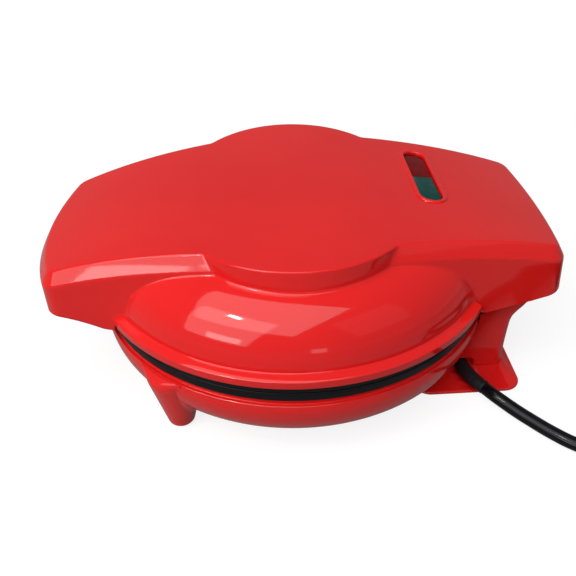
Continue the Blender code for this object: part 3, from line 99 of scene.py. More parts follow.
# Window
WINDOW_X = -0.0116
WINDOW_Y = 0.0684
WINDOW_LENGTH = 0.0548
WINDOW_WIDTH = 0.0114
WINDOW_CUT = 0.0100
WINDOW_CUT_EDGE = 0.0002
WINDOW_RIM = 0.0024
WINDOW_RIM_HEIGHT = 0.0009
WINDOW_RIM_UNDER_SHARE = 0.8
LENS_SINK = 0.0016
LENS_THICKNESS = 0.0030
LENS_EDGE = 0.0004

# Hinge
HINGE_Y = 0.1140
HINGE_Z = 0.0520
BARREL_RADIUS = 0.0068
BARREL_HALF = 0.0301
LUG_WIDTH = 0.0102
LUG_RADIUS = 0.0064
LUG_DEPTH = 0.0120
LUG_EDGE = 0.0005
LUG_SIDE_ANGLE = 0.35

# Base bowl and legs
BOWL_RADIUS = 0.1010
BOWL_FLAT_RADIUS = 0.0620
BOWL_FLOOR_Z = 0.0060
BOWL_TURN_Z = 0.0370
BOWL_TOP_Z = 0.03945
BOWL_POWER = 2.3
BOWL_HOLE_RADIUS = 0.0500
BOWL_NECK_RADIUS = 0.0985
BOWL_ROUNDS = (0, 0.0004, 0.0005, 0.0007)
BOWL_STEP = 0.0001
LEG_X = 0.06794
LEG_Y = -0.06054
LEG_FOOT_RADIUS = 0.0062
LEG_TOP_RADIUS = 0.0126
LEG_TOP_Z = 0.0270
LEG_END_Z = 0.0350
LEG_FOOT_Z = 0.0008
LEG_SOLE = 0.0024
LEG_SOLE_ROUND = 0.00192
LEG_BLEND = 0.0060
LEG_BLEND_SHARE = 0.6
LEG_LEAN_SHARE = 0.35
LEG_SINK = 0.0012
LEG_CAP = 0.0004
STEEP_SHARE = 0.7
LEAST_SHARE = 0.001

# Plates
PLATE_PLANE_Z = 0.0447
PLATE_RADIUS = 0.0998
PLATE_THICKNESS = 0.0048
PLATE_EDGE = 0.0007
DONUT_COUNT = 6
DONUT_CIRCLE_RADIUS = 0.0610
DONUT_RING_RADIUS = 0.0175
DONUT_TUBE_RADIUS = 0.0095

# Stand and its foot
STAND_HALF = 0.0445
STAND_REAR_Y = 0.1080
STAND_FRONT_Y = 0.0680
STAND_FLARE = 0.0090
STAND_TOP_Z = 0.0470
STAND_Z = 0.0045
STAND_CORNER = 0.0050
STAND_EDGE = 0.0009
STAND_EAR = 0.0032
STAND_FRONT_CORNER = 0.0020
STAND_MIDDLE_Y = 0.0985
STAND_REAR_SHARES = ((0.0, 0.06), (0.2, 0.0), (0.6, 0.05), (0.72, 0.14), (0.8, 0.33), (0.9, 0.70), (1.0, 1.0))
NOTCH_REACH = 0.0600
NOTCH_EDGE = 0.0001
MOUTH_Y = 0.0848
MOUTH_Z = 0.0066
MOUTH_LENGTH = 0.0150
MOUTH_HEIGHT = 0.0066
MOUTH_DEPTH = 0.0200
MOUTH_EDGE = 0.0003
FOOT_HALF = 0.0610
FOOT_REAR_Y = 0.1142
FOOT_FRONT_Y = 0.0580
FOOT_HEIGHT = 0.0042
FOOT_EDGE = 0.0020
FOOT_CORNER = 0.0080
FOOT_SHOULDER = 0.0010
FOOT_MIDDLE_Y = 0.0900
FOOT_FALL_POWER = 1.6
FOOT_OUT_POWER = 0.9
CHANNEL_FLOOR = 0.0012
COVER_RADIUS = 0.0660

# Mains cord, on the route of the solids
CORD_RADIUS = 0.0033
RELIEF_START_RADIUS = 0.0038
RELIEF_END_SHARE = 0.92
RELIEF_RING_DEPTH = 0.00008
RELIEF_RINGS_START_SHARE = 0.25
RELIEF_TIP_SHARE = 0.03
RELIEF_TIP_DROP_SHARE = 0.18
GROOVE_RADIUS = 0.0048
RELIEF_ROUTE = (
    (0.0405, 0.0850, 0.0053), (0.0450, 0.0856, 0.0053), (0.0500, 0.0868, 0.0053),
    (0.0545, 0.0884, 0.0053), (0.0590, 0.0906, 0.0053), (0.0630, 0.0931, 0.0052),
)
CORD_ROUTE = (
    (0.0740, 0.1011, 0.0042), (0.0792, 0.1052, 0.0038), (0.0850, 0.1100, 0.0036), (0.0925, 0.1163, 0.0036),
    (0.1002, 0.1240, 0.0037), (0.1066, 0.1334, 0.0039), (0.1112, 0.1444, 0.0041), (0.1143, 0.1570, 0.0043),
)
COIL_X = 0.0776
COIL_Y = 0.1845
COIL_RADIUS = 0.0335
COIL_GAP = 0.0007
COIL_TURNS_IN = 1.0
COIL_TURNS_OUT = 1.31
COIL_CLIMB_TURNS = 0.5
COIL_START_ANGLE = radians(-12.0)
COIL_DROP_TURNS = 0.12
TIE_WIDTH = 0.0060
TIE_THICKNESS = 0.0008
TIE_ANGLE = radians(205.0)
TIE_EDGE = 0.0002
PLUG_DEPTH = 0.0180
PLUG_FACE = 0.0463
PLUG_EDGE = 0.0010
BLADE_LENGTH = 0.0170
BLADE_ROOT = 0.0060
BLADE_WIDTH = 0.0063
BLADE_THICKNESS = 0.0015
BLADE_SPACING = 0.0127
SLOT_EDGE = 0.00003

# Plug along its length: place, half the width, half the depth and the corners' radius
PLUG_SHAPE = (
    (0.0003, 0.0040, 0.0040, 0.0040), (0.0050, 0.0043, 0.0043, 0.0043), (0.0110, 0.0047, 0.0047, 0.0047),
    (0.0160, 0.0062, 0.0057, 0.0046), (0.0220, 0.0098, 0.0076, 0.0044), (0.0280, 0.0119, 0.0087, 0.0042),
    (0.0340, 0.0125, 0.0090, 0.0040), (0.0400, 0.0125, 0.0090, 0.0040), (0.0453, 0.0125, 0.0090, 0.0040),
)

# Waves pressed into the plug: start, end, pitch and depth
NECK_RINGS = (PLUG_SHAPE[0][0], 0.0115, 0.0022, 0.0004)
GRIP_RIBS = (0.0330, 0.0420, 0.0030, 0.0003)

# Places worked out from the sizes above
COIL_PITCH = 2 * CORD_RADIUS + COIL_GAP
COIL_Z = TIE_THICKNESS + GAP + CORD_RADIUS
BOWL_WIDE = BOWL_RADIUS - BOWL_FLAT_RADIUS
BOWL_TALL = BOWL_TURN_Z - BOWL_FLOOR_Z
TOP_FRONT_Y = -(FRONT_REACH - CHAMFER_OUT)
TOP_REAR_Y = REAR_REACH - CHAMFER_OUT
BULGE_X = BULGE_REACH - BULGE_RADIUS
JUNCTION_Y = sqrt(BULGE_RADIUS ** 2 - (BAND_HALF_AT_BULGE - BULGE_X) ** 2)

# Camera at the photograph's place
CAMERA_PLACE = (0.31341, -0.02032, 0.25616)
CAMERA_AZIMUTH = radians(-3.283)
CAMERA_ELEVATION = radians(36.62)
CAMERA_ROLL = radians(-0.734)
CAMERA_LENS = 43.58
CAMERA_SENSOR = 36.0
CAMERA_CLIP = 0.01
CAMERA_SHIFT_X = -0.00956
CAMERA_SHIFT_Y = 0.0131

# Room and floor
WHITE = (1.0, 1.0, 1.0, 1.0)
ROOM_LIGHT = 0.26
ROOM_FADE = 0.16
FLOOR_RADIUS = 6.0
FLOOR_SHARE = 0.22
FLOOR_ROUGHNESS = 0.9
FLOOR_GLOW = 0.84
GLOW_FROM = 0.4
GLOW_TO = 2.0
POLISH_SHARE = 0.12

# Soft lamps by name: place, aim, width, height and power
LAMPS = {
    "ceiling": ((0.55, -0.40, 1.45), (0.03, -0.05, 0.05), 1.6, 1.5, 14.5),
    "wall_left": ((1.30, -1.36, 1.33), (0.07, -0.04, 0.07), 1.6, 2.05, 19.5),
    "wall_right": ((1.23, 1.29, 1.42), (0.07, 0.0, 0.07), 1.3, 1.3, 1.0),
    "bulb": ((0.531, -0.606, 1.153), (0.083, -0.033, 0.075), 0.14, 0.08, 1.9),
    "window_left": ((1.13, -0.99, 0.50), (0.07, -0.04, 0.08), 0.50, 0.26, 1.8),
    "window_right": ((1.45, 0.22, 0.22), (0.09, 0.0, 0.066), 0.20, 0.20, 0.2),
}

# Part of a noise's range over which a finish goes from its low to its high value
NOISE_LOW = 0.3
NOISE_HIGH = 0.7

# Angles in degrees above which an edge is shown sharp
SHARP = 35.0
SHELL_SHARP = 30.0
FOOT_SHARP = 40.0

# Rows on the lid's skins: on the top, on the wall and on the dome
OUTER_LID_ROWS = (22, 8, 22)
INNER_LID_ROWS = (10, 4, 8)
TOP_SPACING_POWER = 0.8

# Counts of points, rows and steps
END_POINTS = 15
CORNER_POINTS = 8
SIDE_POINTS = 20
BULGE_POINTS = 44
HEM_STEPS = 3
FLARE_STEPS = 3
CREASE_SEARCH_STEPS = 3
ROUND_STEPS = 5
TURN_STEPS = 160
STADIUM_STEPS = 24
RIM_ROWS = 24
LENS_STEPS = 32
LENS_SIDE_POINTS = 9
LUG_POINTS = 24
BOWL_ROWS = 48
LEG_COLUMNS = 72
LEG_SEARCH_STEPS = 400
LEG_BLEND_STEPS = 12
LEG_SIDE_ROWS = 8
RING_ROWS = 32
RING_COLUMNS = 64
BLOCK_SIDE_POINTS = 8
BLOCK_CORNER_POINTS = 9
BLOCK_END_POINTS = 50
STAND_STEPS = 5
BAR_POINTS = 64
FOOT_RINGS = 26
FOOT_EDGE_RINGS = 8
GROOVED_RINGS = 28
GROOVE_RELIEF_STEPS = 8
GROOVE_CORD_STEPS = 12
RELIEF_STEPS = 16
RELIEF_RINGS = 6
RELIEF_COLUMNS = 32
CORD_STEPS = 6
CORD_ROUND_STEPS = 6
COIL_POINTS = 48
PLUG_STEPS = 16
QUARTER_STEPS = 6
FLOOR_POINTS = 64

# Distances within which two points are one, as made and after a cut, and the least length of a direction
SAME_POINT = 0.0000005
SAME_CUT_POINT = 0.000002
LEAST_LENGTH = 1e-12

# The collection that holds the finished pieces
LOOKS = bpy.data.collections.new("mini_donut_maker_looks")
bpy.context.scene.collection.children.link(LOOKS)


def merged(mesh, reach):
    """The mesh with its doubled points made one and its faces without area taken out."""
    clean = bmesh.new()
    clean.from_mesh(mesh)
    bmesh.ops.remove_doubles(clean, verts=clean.verts, dist=reach)
    bmesh.ops.dissolve_degenerate(clean, edges=clean.edges, dist=reach)
    clean.to_mesh(mesh)
    clean.free()
    return mesh


def placed(points):
    """Points taken from the round body's axis, in the model's frame."""
    return points + (0, AXIS_Y, 0)


def mesh_of(points, faces):
    """A mesh from an array of points, taken from the round body's axis, and a list of faces."""
    mesh = bpy.data.meshes.new("shape")
    mesh.from_pydata(placed(points.reshape(-1, 3)).tolist(), [], faces)
    return merged(mesh, SAME_POINT)


def grid_faces(rows, columns, loop=False):
    """Faces of a grid whose columns close on themselves. Rows run down and columns run anticlockwise."""
    row = np.arange(rows if loop else rows - 1)[:, None]
    below = (row + 1) % rows
    column = np.arange(columns)
    after = (column + 1) % columns
    corners = ((row, column), (below, column), (below, after), (row, after))
    return np.stack([r * columns + c for r, c in corners], axis=-1).reshape(-1, 4)


def surface(rows, loop=False, flat_ends=False):
    """The mesh through rows of rings. Where its ends are flat, one face closes the first and one the last."""
    count, columns = rows.shape[:2]
    faces = grid_faces(count, columns, loop).tolist()
    if flat_ends:
        faces += [list(range(columns)), list(range((count - 1) * columns, count * columns))[::-1]]
    return mesh_of(rows, faces)


def piece(name, mesh, finish, body="base", sharp=SHARP):
    """A finished object: smooth but for its sharp edges, with its material, riding on a body."""
    mesh.name = name
    mesh.shade_smooth()
    mesh.set_sharp_from_angle(angle=radians(sharp))
    mesh.materials.clear()
    mesh.materials.append(finish)
    made = bpy.data.objects.new(name, mesh)
    LOOKS.objects.link(made)
    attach(made, body)
    return made


def unit(vectors):
    return vectors / np.maximum(np.linalg.norm(vectors, axis=-1, keepdims=True), LEAST_LENGTH)


def raised(points, height):
    """Plan points with heights as their third coordinate."""
    return np.concatenate([points, np.broadcast_to(height, points.shape[:-1])[..., None]], axis=-1)


def circle(columns):
    """Spokes (cos a, sin a), evenly round from +X."""
    angle = 2 * pi * np.arange(columns) / columns
    return np.stack([np.cos(angle), np.sin(angle)], axis=1)


def moved(points, place):
    """Points carried by a 4 by 4 matrix."""
    return points @ place[:3, :3].T + place[:3, 3]


def arc(x, y, radius, start, end, count):
    angle = np.linspace(start, end, count)
    return np.stack([x + radius * np.cos(angle), y + radius * np.sin(angle)], axis=1)


def outward(outline):
    """Normals of an anticlockwise plan outline, each across the line between its neighbours."""
    along = unit(np.roll(outline, -1, axis=0) - np.roll(outline, 1, axis=0))
    return np.stack([along[:, 1], -along[:, 0]], axis=1)


def bend(a, b, c, steps=ROUND_STEPS):
    """Rows of a quadratic curve from a to c that b pulls towards itself: (1-t)^2 a + 2t(1-t) b + t^2 c."""
    t = np.linspace(0, 1, steps + 1)[:, None, None]
    return (1 - t) ** 2 * a + 2 * t * (1 - t) * b + t ** 2 * c


def smooth_path(points, steps):
    """Points on a Catmull-Rom curve: each stretch is the usual cubic of its four nearest knots."""
    knots = np.array(points, dtype=float)
    knots = np.vstack([2 * knots[:1] - knots[1:2], knots, 2 * knots[-1:] - knots[-2:-1]])
    a, b, c, d = (knots[i:len(knots) - 3 + i, None, :] for i in range(4))
    t = (np.arange(steps) / steps)[None, :, None]
    square = 2 * a - 5 * b + 4 * c - d
    cube = 3 * b - a - 3 * c + d
    cubic = (2 * b + (c - a) * t + square * t ** 2 + cube * t ** 3) / 2
    return np.vstack([cubic.reshape(-1, knots.shape[1]), knots[-2:-1]])


def eased(corners, rounds):
    """A profile whose corners are eased: each becomes the quadratic curve that bend() draws.

    rounds is how far from each corner the curve starts and ends, or 0 for a corner that stays.
    """
    corners = np.array(corners, dtype=float)
    reach = np.array(rounds, dtype=float)[:, None]
    before = corners - reach * unit(corners - np.roll(corners, 1, axis=0))
    after = corners + reach * unit(np.roll(corners, -1, axis=0) - corners)
    curve = bend(before[None], corners[None], after[None])
    return curve.transpose(1, 0, 2).reshape(-1, 2)


def turned(profile, loop=False):
    """A surface of revolution: each (radius, height) of the profile runs round the axis.

    The profile goes down the outer side, and back up the inner side where it is a loop.
    """
    profile = np.array(profile, dtype=float)
    return surface(raised(profile[:, :1, None] * circle(TURN_STEPS), profile[:, 1:]), loop)


def slab(outline, low, high, edge, place=np.eye(4)):
    """An upright prism with eased rims: the outline drawn in by its own normals near both ends.

    The outline is an anticlockwise array of (x, y) that bulges outwards. place is a 4 by 4 matrix.
    """
    outline = np.array(outline, dtype=float)
    turn = np.linspace(0, pi / 2, ROUND_STEPS + 1)
    late, early = edge * (1 - np.sin(turn)), edge * (1 - np.cos(turn))
    rings = outline - np.concatenate([late, early])[:, None, None] * outward(outline)
    height = np.concatenate([high - early, low + late])
    middle = np.broadcast_to(outline.mean(axis=0), (1,) + outline.shape)
    height = np.concatenate([height[:1], height, height[-1:]])
    points = raised(np.concatenate([middle, rings, middle]), height[:, None])
    return surface(moved(points, place))


def along_x(x, y, z):
    """The place of a prism that lies along X, its own X along Y and its own Y upwards."""
    return np.array(((0, 0, 1, x), (1, 0, 0, y), (0, 1, 0, z), (0, 0, 0, 1)), dtype=float)


def stadium(length, width, steps):
    """An anticlockwise outline with round ends, long along X."""
    radius = width / 2
    straight = length / 2 - radius
    right = arc(straight, 0, radius, -pi / 2, pi / 2, steps)
    return np.vstack([right, arc(-straight, 0, radius, pi / 2, 1.5 * pi, steps)])


def carved(mesh, *cutters, added=None):
    """The mesh with the added one joined to it, less its cutters, by an exact Boolean for each."""
    work = bpy.data.objects.new("work", mesh)
    bpy.context.scene.collection.objects.link(work)
    tools = []
    steps = [("UNION", added)] if added else []
    for operation, other in steps + [("DIFFERENCE", cutter) for cutter in cutters]:
        tool = bpy.data.objects.new("tool", other)
        bpy.context.scene.collection.objects.link(tool)
        tools.append(tool)
        step = work.modifiers.new("step", "BOOLEAN")
        step.operation = operation
        step.solver = "EXACT"
        step.object = tool
    bpy.context.view_layer.update()
    shape = bpy.data.meshes.new_from_object(work.evaluated_get(bpy.context.evaluated_depsgraph_get()))
    for used in [work] + tools:
        bpy.data.objects.remove(used, do_unlink=True)
    return merged(shape, SAME_CUT_POINT)


def end_of_band(end_y, arc_radius, half, out_band):
    """One end of the outline for x >= 0: end arc, eased corner, then a point and the side's direction."""
    way = 1 if end_y > 0 else -1
    centre_y = end_y - way * arc_radius
    start = np.array((half, centre_y + way * sqrt(arc_radius ** 2 - half ** 2)))
    along = unit(np.array((BAND_HALF_AT_BULGE, way * JUNCTION_Y)) - start)
    normal = np.array((way * -along[1], way * along[0]))
    inner = start - normal * CORNER_RADIUS - (0, centre_y)
    b = inner @ along
    reach = sqrt(b * b - inner @ inner + (arc_radius - CORNER_RADIUS) ** 2)
    t = -b - reach
    if (inner + along * t)[1] * way < 0:
        t = -b + reach
    corner = inner + along * t + (0, centre_y)
    swing = atan2(corner[1] - centre_y, corner[0])
    side = atan2(normal[1], normal[0])
    points = arc(0, centre_y, arc_radius + out_band, way * pi / 2, swing, END_POINTS)
    turn = arc(*corner, CORNER_RADIUS + out_band, swing, side, CORNER_POINTS)
    return np.vstack([points, turn[1:]]), start + normal * out_band, along


def on_bulge(point, along, radius):
    """Where a side line meets the bulge's circle."""
    middle = point - (BULGE_X, 0)
    b = middle @ along
    return point + along * (-b - sqrt(b * b - middle @ middle + radius ** 2))


def side_shares(first, last, stop):
    """Shares along a side line, with two close together where it crosses the lip's circle."""
    way = last - first
    b = first @ way / (way @ way)
    cross = -b - sqrt(b * b - (first @ first - LIP_RADIUS ** 2) / (way @ way))
    outer = np.linspace(0, cross - CROSSING_SHARE, SIDE_POINTS // 2)[1:]
    return np.concatenate([outer, np.linspace(cross + CROSSING_SHARE, stop, SIDE_POINTS // 2)])


def half_outline(out_band, out_bulge):
    """The plan outline for x >= 0, front apex to rear apex, with the bulge's two junctions eased."""
    radius = BULGE_RADIUS + out_bulge
    halves = []
    turns = []
    front = (TOP_FRONT_Y, FRONT_ARC_RADIUS, BAND_HALF_FRONT)
    rear = (TOP_REAR_Y, REAR_ARC_RADIUS, BAND_HALF_REAR)
    for end in (front, rear):
        wide, wide_point, along = end_of_band(*end, CHAMFER_OUT)
        wide_meet = on_bulge(wide_point, along, BULGE_RADIUS + BULGE_DRAFT)
        stop = 1 - BULGE_FILLET / np.linalg.norm(wide_meet - wide[-1])
        points, point, along = end_of_band(*end, out_band)
        meet = on_bulge(point, along, radius)
        span = meet - points[-1]
        side = points[-1] + span * side_shares(wide[-1], wide_meet, stop)[:, None]
        side[-1] = points[-1] + span * (1 - BULGE_FILLET / np.linalg.norm(span))
        way = 1 if end[0] > 0 else -1
        turn = atan2(meet[1], meet[0] - BULGE_X) - way * BULGE_FILLET / radius
        turns.append(turn)
        ease = bend(side[-1:], meet[None], arc(BULGE_X, 0, radius, turn, turn, 1))[1:-1, 0]
        halves.append(np.vstack([points, side, ease]))
    bulge = arc(BULGE_X, 0, radius, turns[0], turns[1], BULGE_POINTS)
    return np.vstack([halves[0], bulge, halves[1][::-1]])


def whole_outline(out_band, out_bulge):
    """The outline with its other side's points, so that it runs anticlockwise from the front apex."""
    half = half_outline(out_band, out_bulge)
    return np.vstack([half, half[1:-1][::-1] * (-1, 1)])


def top_z(y):
    """Height of the arched top: the crown less a drop that grows with the square and cube of y."""
    share = np.where(y > 0, y / TOP_REAR_Y, y / TOP_FRONT_Y)
    drop = np.where(y > 0, REAR_DROP, FRONT_DROP)
    return CROWN_Z - drop * (SQUARE_DROP_SHARE * share ** 2 + (1 - SQUARE_DROP_SHARE) * share ** 3)


def hem_z(y):
    """Height of the band's lower edge, which climbs from beside the round body to each end."""
    heights = []
    for reach, length, rise, drop, power in (FRONT_HEM, REAR_HEM):
        share = np.clip((reach - np.abs(y)) / length, 0, 1)
        heights.append(LIP_Z + rise - drop * share ** power)
    return np.where(y > 0, heights[1], heights[0])


def flare_curve(inset):
    """The flare's (radius, height) from the dome's foot to the lip, through its chosen shares."""
    shares = smooth_path(FLARE_SHARES, FLARE_STEPS)
    shoulder = LIP_Z + LIP_HEIGHT - inset
    radius = DOME_RADIUS - inset + (LIP_RADIUS - DOME_RADIUS) * shares[:, 0]
    return np.maximum.accumulate(radius), shoulder + (DOME_FOOT_Z - shoulder) * shares[:, 1]


def lid_rows(inset, top_rows, wall_rows, dome_rows):
    """The lid's skin as rows of rings: out over the arched top, down the wall and out over the dome.

    The top's rings are the outline shrunk towards the axis on the arch. The wall drops from the
    chamfer's fold to where it meets the dome, or to the hem past the round body. The dome is the
    quarter ellipse r = flat + wide sin a, z = foot + tall cos a, and ends in the flare and the lip.
    Each edge between two of these is a quadratic curve.
    """
    ease = INNER_ROUND_SHARE if inset else 1.0
    top_round, fold_round = ease * TOP_ROUND, ease * FOLD_ROUND
    fold_drop = CHAMFER_DROP + inset / 2
    top_out = CHAMFER_OUT - inset - CHAMFER_OUT * (fold_drop - inset) / CHAMFER_DROP
    edge = whole_outline(top_out, -inset)
    fold = whole_outline(CHAMFER_OUT - inset, BULGE_DRAFT - inset)
    near = whole_outline(top_out - top_round, -inset - top_round)
    tops = top_z(edge[:, 1]) - inset
    flat = near * np.linspace(0, 1, top_rows)[:, None, None] ** TOP_SPACING_POWER
    edge = raised(edge, tops)
    folds = raised(fold, tops + inset - fold_drop)
    bottom = raised(fold, hem_z(fold[:, 1]))
    bottom[:, 1] += REAR_DRAFT * np.maximum(0, fold[:, 1]) / TOP_REAR_Y

    wide = DOME_RADIUS - inset - DOME_FLAT_RADIUS
    tall = DOME_TOP_Z - inset - DOME_FOOT_Z
    flare_r, flare_z = flare_curve(inset)
    lip = LIP_RADIUS - inset

    def dome_height(radius):
        """Height of dome and flare at a radius, and the hem's past the lip."""
        lean = np.clip((radius - DOME_FLAT_RADIUS) / wide, 0, 1)
        on_dome = DOME_FOOT_Z + tall * np.sqrt(1 - lean ** 2)
        on_flare = np.interp(radius, flare_r, flare_z)
        height = np.where(radius < DOME_RADIUS - inset, on_dome, on_flare)
        return np.where(radius < lip, height, bottom[:, 2])

    foot = folds
    for _ in range(CREASE_SEARCH_STEPS):
        height = dome_height(np.linalg.norm(foot[:, :2], axis=1))
        share = (folds[:, 2] - height) / (folds[:, 2] - bottom[:, 2])
        foot = folds + (bottom - folds) * share[:, None]
    radius = np.linalg.norm(foot[:, :2], axis=1)
    ray = foot[:, :2] / radius[:, None]
    past = radius >= lip
    reach = CREASE_ROUND * ease * np.clip((DOME_RADIUS - inset - radius) / CREASE_FADE, 0, 1)[:, None]
    out_r = radius + reach[:, 0]
    out = np.where(reach > 0, raised(ray * out_r[:, None], dome_height(out_r)), foot)

    strip = unit(folds - edge)
    drop = unit(foot - folds)
    lean_in = bend(raised(near, top_z(near[:, 1]) - inset), edge, edge + strip * top_round)
    over_fold = bend(folds - strip * fold_round, folds, folds + drop * fold_round)
    crease = bend(foot - drop * reach, foot, out)
    between = np.linspace(0, 1, wall_rows)[1:-1, None, None]
    wall = over_fold[-1] + (crease[0] - over_fold[-1]) * between

    start = np.arcsin(np.clip((out_r - DOME_FLAT_RADIUS) / wide, 0, 1))
    lean = start + (pi / 2 - start) * np.linspace(0, 1, dome_rows)[1:, None]
    rim_r = np.concatenate([flare_r[1:], (lip, lip)])[:, None]
    rim_z = np.concatenate([flare_z[1:], (LIP_Z + HEM_ROUND, LIP_Z)])[:, None]
    ring_r = np.concatenate([DOME_FLAT_RADIUS + wide * np.sin(lean), np.tile(rim_r, len(radius))])
    ring_z = np.concatenate([DOME_FOOT_Z + tall * np.cos(lean), np.tile(rim_z, len(radius))])
    clear = (ring_r >= out_r) & ~past
    held = np.where(past[:, None], foot, out)
    dome = np.where(clear[..., None], raised(ray * ring_r[..., None], ring_z), held)
    top = raised(flat, top_z(flat[..., 1]) - inset)
    return np.concatenate([top, lean_in[1:], over_fold, wall, crease, dome])


def window_seat():
    """The window's seat on the arched top, tilted with it, as a 4 by 4 matrix."""
    share = WINDOW_Y / TOP_REAR_Y
    steepness = 2 * SQUARE_DROP_SHARE * share + 3 * (1 - SQUARE_DROP_SHARE) * share ** 2
    tilt = atan2(-REAR_DROP * steepness, TOP_REAR_Y)
    place = np.eye(4)
    place[1:3, 1:3] = ((cos(tilt), -sin(tilt)), (sin(tilt), cos(tilt)))
    place[:3, 3] = (WINDOW_X, WINDOW_Y, top_z(WINDOW_Y))
    return place


def lid_cover():
    """The lid's skin and its inner side, closed along hem and lip, with the window's opening."""
    outer = lid_rows(0.0, *OUTER_LID_ROWS)
    inner = lid_rows(WALL, *INNER_LID_ROWS)
    last = outer[-1]
    inward = unit(inner[-1] - last)
    hem = bend(last + (0, 0, HEM_ROUND), last, last + inward * HEM_ROUND, HEM_STEPS)
    skin = surface(np.concatenate([outer[:-1], hem, inner[::-1]]))
    outline = stadium(WINDOW_LENGTH, WINDOW_WIDTH, STADIUM_STEPS)
    opening = slab(outline, -WINDOW_CUT, WINDOW_CUT, WINDOW_CUT_EDGE, window_seat())
    made = piece("lid_cover_skin", carved(skin, opening), RED, "lid", SHELL_SHARP)
    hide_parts("lid_cover")


def window_rim():
    """A soft bead round the window: an ellipse, flatter below, carried along the stadium outline."""
    middle = stadium(WINDOW_LENGTH + WINDOW_RIM, WINDOW_WIDTH + WINDOW_RIM, LENS_STEPS)
    section = circle(RIM_ROWS)[:, None]
    across = middle - section[..., :1] * outward(middle) * WINDOW_RIM / 2
    rise = WINDOW_RIM_HEIGHT * section[..., 1]
    rise = np.where(rise > 0, rise, WINDOW_RIM_UNDER_SHARE * rise)
    piece("window_rim", surface(moved(raised(across, rise), window_seat()), True), RED, "lid")


def lenses():
    """Two clear-coloured half lenses that meet at the middle of the window."""
    top = WINDOW_RIM_HEIGHT - LENS_SINK
    outline = stadium(WINDOW_LENGTH - 2 * GAP, WINDOW_WIDTH - 2 * GAP, LENS_STEPS)
    width = WINDOW_WIDTH / 2 - GAP
    for name, way, finish in (("red_lens", -1, RED_LENS), ("green_lens", 1, GREEN_LENS)):
        half = outline[outline[:, 0] * way > 0]
        side = np.linspace((way * GAP / 2, width * way), (way * GAP / 2, -width * way), LENS_SIDE_POINTS)
        shape = slab(np.vstack([half, side]), top - LENS_THICKNESS, top, LENS_EDGE, window_seat())
        made = piece(name + "_glass", shape, finish, "lid")
        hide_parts(name)


def hinge_lugs():
    """Two lugs under the hood: a round end about the pin and straight sides up to the roof."""
    half = LUG_DEPTH / 2
    low = arc(HINGE_Y, HINGE_Z, LUG_RADIUS, pi + LUG_SIDE_ANGLE, 2 * pi - LUG_SIDE_ANGLE, LUG_POINTS)
    roof = top_z(HINGE_Y + half) - WALL / 2
    outline = np.vstack([low, ((HINGE_Y + half, roof), (HINGE_Y - half, roof))])
    for name, side in (("hinge_lug_left", -1), ("hinge_lug_right", 1)):
        near = side * (BARREL_HALF + SIDE_CLEARANCE)
        far = near + side * LUG_WIDTH
        piece(name, slab(outline, min(near, far), max(near, far), LUG_EDGE, along_x(0, 0, 0)), RED, "lid")


def bowl_radius(z, grow=0.0):
    """The bowl's radius at a height, on its quarter superellipse."""
    low = np.clip((BOWL_TURN_Z - z) / (BOWL_TALL + grow), 0, 1)
    return BOWL_FLAT_RADIUS + (BOWL_WIDE + grow) * (1 - low ** BOWL_POWER) ** (1 / BOWL_POWER)


def bowl_side(grow, steps):
    """The superellipse as (radius, height) pairs from the shoulder down to the floor's flat."""
    turn = np.linspace(0, pi / 2, steps)
    radius = BOWL_FLAT_RADIUS + (BOWL_WIDE + grow) * np.cos(turn) ** (2 / BOWL_POWER)
    height = BOWL_TURN_Z - (BOWL_TALL + grow) * np.sin(turn) ** (2 / BOWL_POWER)
    return np.stack([radius, height], axis=1)


def base_bowl():
    """The bowl turned about its axis: neck, eased shoulder, superellipse and floor, then its inner side."""
    neck = ((BOWL_NECK_RADIUS - WALL, BOWL_TOP_Z), (BOWL_NECK_RADIUS, BOWL_TOP_Z),
            (BOWL_NECK_RADIUS, BOWL_TURN_Z + BOWL_STEP), (BOWL_RADIUS - BOWL_STEP, BOWL_TURN_Z))
    outer = bowl_side(0, BOWL_ROWS)[2:]
    floor = ((BOWL_HOLE_RADIUS, BOWL_FLOOR_Z), (BOWL_HOLE_RADIUS, BOWL_FLOOR_Z + WALL))
    inner = bowl_side(-WALL, BOWL_ROWS // 2)[::-1]
    profile = np.vstack([eased(neck, BOWL_ROUNDS), outer, floor, inner[:-1]])
    made = piece("base_bowl_shell", turned(profile, True), RED, "base", SHELL_SHARP)
    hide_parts("base_bowl")


def on_bowl(points):
    """Points drawn back to the bowl's surface along the radius, or down from its floor."""
    flat = np.linalg.norm(points[:, :2], axis=1)
    height = np.clip(points[:, 2], BOWL_FLOOR_Z, BOWL_TURN_Z)
    by_radius = raised(points[:, :2] * (bowl_radius(height) / flat)[:, None], height)
    low = np.clip((flat - BOWL_FLAT_RADIUS) / BOWL_WIDE, 0, 1)
    by_height = raised(points[:, :2], BOWL_TURN_Z - BOWL_TALL * (1 - low ** BOWL_POWER) ** (1 / BOWL_POWER))
    steep = flat > BOWL_FLAT_RADIUS + STEEP_SHARE * BOWL_WIDE
    return np.where(steep[:, None], by_radius, by_height)


def bowl_normals(points):
    """The bowl's outward normals: the slope of its superellipse by radius and by height."""
    flat = np.linalg.norm(points[:, :2], axis=1)
    over = np.clip((flat - BOWL_FLAT_RADIUS) / BOWL_WIDE, LEAST_SHARE, 1)
    fall = np.clip((BOWL_TURN_Z - points[:, 2]) / BOWL_TALL, LEAST_SHARE, 1)
    across = (over ** (BOWL_POWER - 1) / BOWL_WIDE / flat)[:, None]
    return unit(raised(points[:, :2] * across, -fall ** (BOWL_POWER - 1) / BOWL_TALL))


